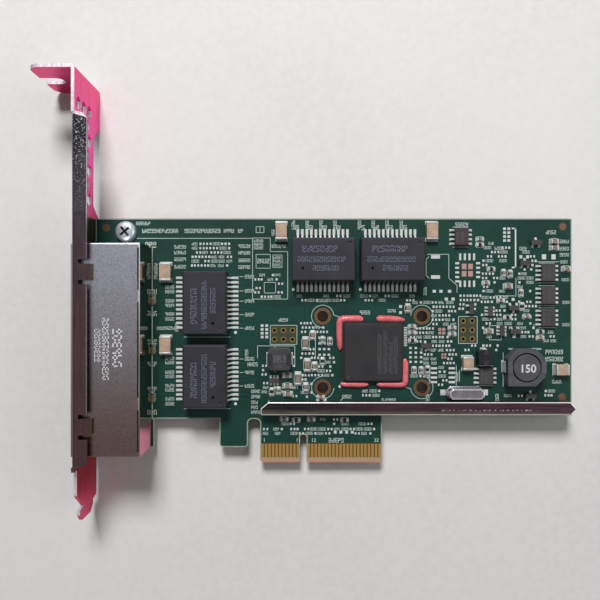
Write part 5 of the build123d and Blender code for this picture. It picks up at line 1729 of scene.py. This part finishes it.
# Smallest chips
# Capacitors of grey-brown ceramic and resistors glazed in black, with tinned ends, sit all
# over the board.
chip_end = 0.36
chip_round = 0.05
chip_rise = 0.03
resistor_every = 3
resistor_drop = 0.15
cap_drop = 0.12
glaze_black = "#1E1E22"
glaze_pale = "#2C2C30"


def add_block(shape, low, high, round_edge, segments=2):
    """Adds a box with rounded edges."""
    corners = add_box(shape, (low[0], high[0]), (low[1], high[1]), (low[2], high[2]))
    edges = list({edge for vert in corners for edge in vert.link_edges})
    bmesh.ops.bevel(shape, geom=edges, offset=round_edge, offset_type="OFFSET", affect="EDGES",
                    segments=segments, profile=0.5, material=-1)


# Fired glass is black and glossy.
glass_black = moulded("black_overglaze", glaze_black, glaze_pale, 0.2, 0.3, 0.05)
chip_ceramics = bmesh.new()
chip_glazes = bmesh.new()
chip_caps = bmesh.new()
for count, (low, high) in enumerate(solids("small_chips")):
    axis = long_axis(low, high)
    resistor = count % resistor_every == 0
    body_low, body_high = low.copy(), high.copy()
    body_low[axis] += chip_end * 0.5
    body_high[axis] -= chip_end * 0.5
    body_low[1 - axis] += chip_rise
    body_high[1 - axis] -= chip_rise
    body_high.z -= chip_rise + (resistor_drop if resistor else 0.0)
    add_block(chip_glazes if resistor else chip_ceramics, body_low, body_high, chip_round, 1)
    for side, end_low, end_high in chip_ends(low, high, chip_end):
        end_high.z -= cap_drop if resistor else 0.0
        add_block(chip_caps, end_low, end_high, chip_round)
place_piece("small_chip_ceramics", chip_ceramics, grey_ceramic, ("small_chips",))
place_piece("small_chip_glazes", chip_glazes, glass_black)
place_piece("small_chip_caps", chip_caps, end_tin)

# Small transistors
# Moulded packages on tinned leads that leave half way up and bend down to their pads.
bend_height = 0.5
lead_sheet = 0.14
lead_knees = (0.42, 0.58)
lead_foot = 0.02
package_round = 0.07


def add_gull(shape, low, high, axis, side):
    """Adds a bent lead: a foot on the pad, a slope, and a short run into the package."""
    inner, outer = (low[axis], high[axis]) if side > 0 else (high[axis], low[axis])
    run = outer - inner
    line = [(inner, bend_height), (inner + run * lead_knees[0], bend_height),
            (inner + run * lead_knees[1], lead_foot), (outer, lead_foot)]
    profile = line + [(along, height + lead_sheet) for along, height in reversed(line)]
    near, far = low[1 - axis], high[1 - axis]
    corners = []
    for along, height in profile:
        place = [0.0, 0.0, board_top + pad_rise + height]
        place[axis], place[1 - axis] = along, near
        corners.append(shape.verts.new(place))
    face = shape.faces.new(corners)
    pushed = bmesh.ops.extrude_face_region(shape, geom=[face])
    moved = [item for item in pushed["geom"] if isinstance(item, bmesh.types.BMVert)]
    shift = [0.0, 0.0, 0.0]
    shift[1 - axis] = far - near
    bmesh.ops.translate(shape, vec=shift, verts=moved)


dress("transistor_bodies", "transistor_packages", soic_epoxy, package_round)
bent_leads = bmesh.new()
packages = [(low + high) / 2 for low, high in solids("transistor_bodies")]
for low, high in solids("transistor_leads"):
    middle = (low + high) / 2
    package = min(packages, key=lambda centre: (centre - middle).length)
    axis = long_axis(low, high)
    add_gull(bent_leads, low, high, axis, 1 if middle[axis] > package[axis] else -1)
bmesh.ops.recalc_face_normals(bent_leads, faces=bent_leads.faces)
place_piece("transistor_bent_leads", bent_leads, lead_tin_painted_shade, ("transistor_leads",))

# Joints on the solder side
# Where wires and posts come through, wave soldering leaves bright cones on the underside.
joint_radius = 0.72
joint_height = 0.75
joint_neck = 0.35
joint_apart = 1.2

joints = bmesh.new()
centres = []
for node in ("jack_wires", "jack_shield"):
    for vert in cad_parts[node].data.vertices:
        x, y, z = vert.co * 1000
        apart = all(math.hypot(x - a, y - b) > joint_apart for a, b in centres)
        if z < board_bottom - 0.05 and apart:
            centres.append((x, y))
for x, y in sorted(centres):
    add_disc(joints, x, y, joint_radius * joint_neck, board_bottom - joint_height, board_bottom,
             joint_radius, 20)
place_piece("underside_joints", joints, ball_solder)

# Bench, lights and camera
# A plain pale floor, two soft lamps and a soft sky. The camera hangs straight over the card.
floor_pale = "#DEDCDA"
floor_shade = "#D6D4D2"
floor_size = 1.6
sky_level = 0.15
sky_seen = 0.42
sky_colour = "#F1F3F6"
camera_place = (-0.93, 45.83, 170.785)
camera_lens = 36.2
lamps = (("key_lamp", (-0.08, 0.62, 0.6), 0.24, 7.4), ("fill_lamp", (0.65, 0.05, 0.45), 0.5, 1.3))
lamp_aim = (0.0, 0.04, 0.0)

# Matt paint is nearly even, so it shows only soft shadows.
floor_paint = moulded("matt_painted_board", floor_pale, floor_shade, 2.0, 0.7, 0.02, 60.0)
floor = bmesh.new()
bmesh.ops.create_grid(floor, x_segments=1, y_segments=1, size=floor_size / 2)
bmesh.ops.translate(floor, vec=(0, 0, cad_box[0].z), verts=floor.verts)
floor_mesh = bpy.data.meshes.new("floor")
floor.to_mesh(floor_mesh)
floor.free()
floor_mesh.materials.append(floor_paint)
floor_board = bpy.data.objects.new("floor", floor_mesh)
bpy.context.scene.collection.objects.link(floor_board)

for name, place, size, power in lamps:
    lamp = bpy.data.lights.new(name, "AREA")
    lamp.shape = "SQUARE"
    lamp.size = size
    lamp.energy = power
    lamp_object = bpy.data.objects.new(name, lamp)
    lamp_object.location = place
    away = Vector(place) - Vector(lamp_aim)
    lamp_object.rotation_euler = away.to_track_quat("Z", "Y").to_euler()
    bpy.context.scene.collection.objects.link(lamp_object)

# The sky is dim as a light and brighter where it is seen or mirrored.
world = bpy.data.worlds.new("soft_sky")
world.use_nodes = True
sky = world.node_tree.nodes["Background"]
sky.inputs["Color"].default_value = linear(sky_colour)
rays = add_node(world, "ShaderNodeLightPath")
seen = add_node(world, "ShaderNodeMath", {"operation": "MAXIMUM"},
                {0: rays.outputs["Is Camera Ray"], 1: rays.outputs["Is Glossy Ray"]})
through = add_node(world, "ShaderNodeMath", {"operation": "MAXIMUM"},
                   {0: seen.outputs["Value"], 1: rays.outputs["Is Transmission Ray"]})
strength = add_node(world, "ShaderNodeMapRange", {3: sky_level, 4: sky_seen},
                    {"Value": through.outputs["Value"]})
world.node_tree.links.new(sky.inputs["Strength"], strength.outputs["Result"])
bpy.context.scene.world = world

camera = bpy.data.cameras.new("camera")
camera.sensor_width = 36
camera.lens = camera_lens
camera.clip_start = 0.01
camera.clip_end = 10
camera_object = bpy.data.objects.new("camera", camera)
camera_object.location = [value * mm for value in camera_place]
bpy.context.scene.collection.objects.link(camera_object)
bpy.context.scene.camera = camera_object
bpy.context.scene.view_settings.view_transform = "Standard"
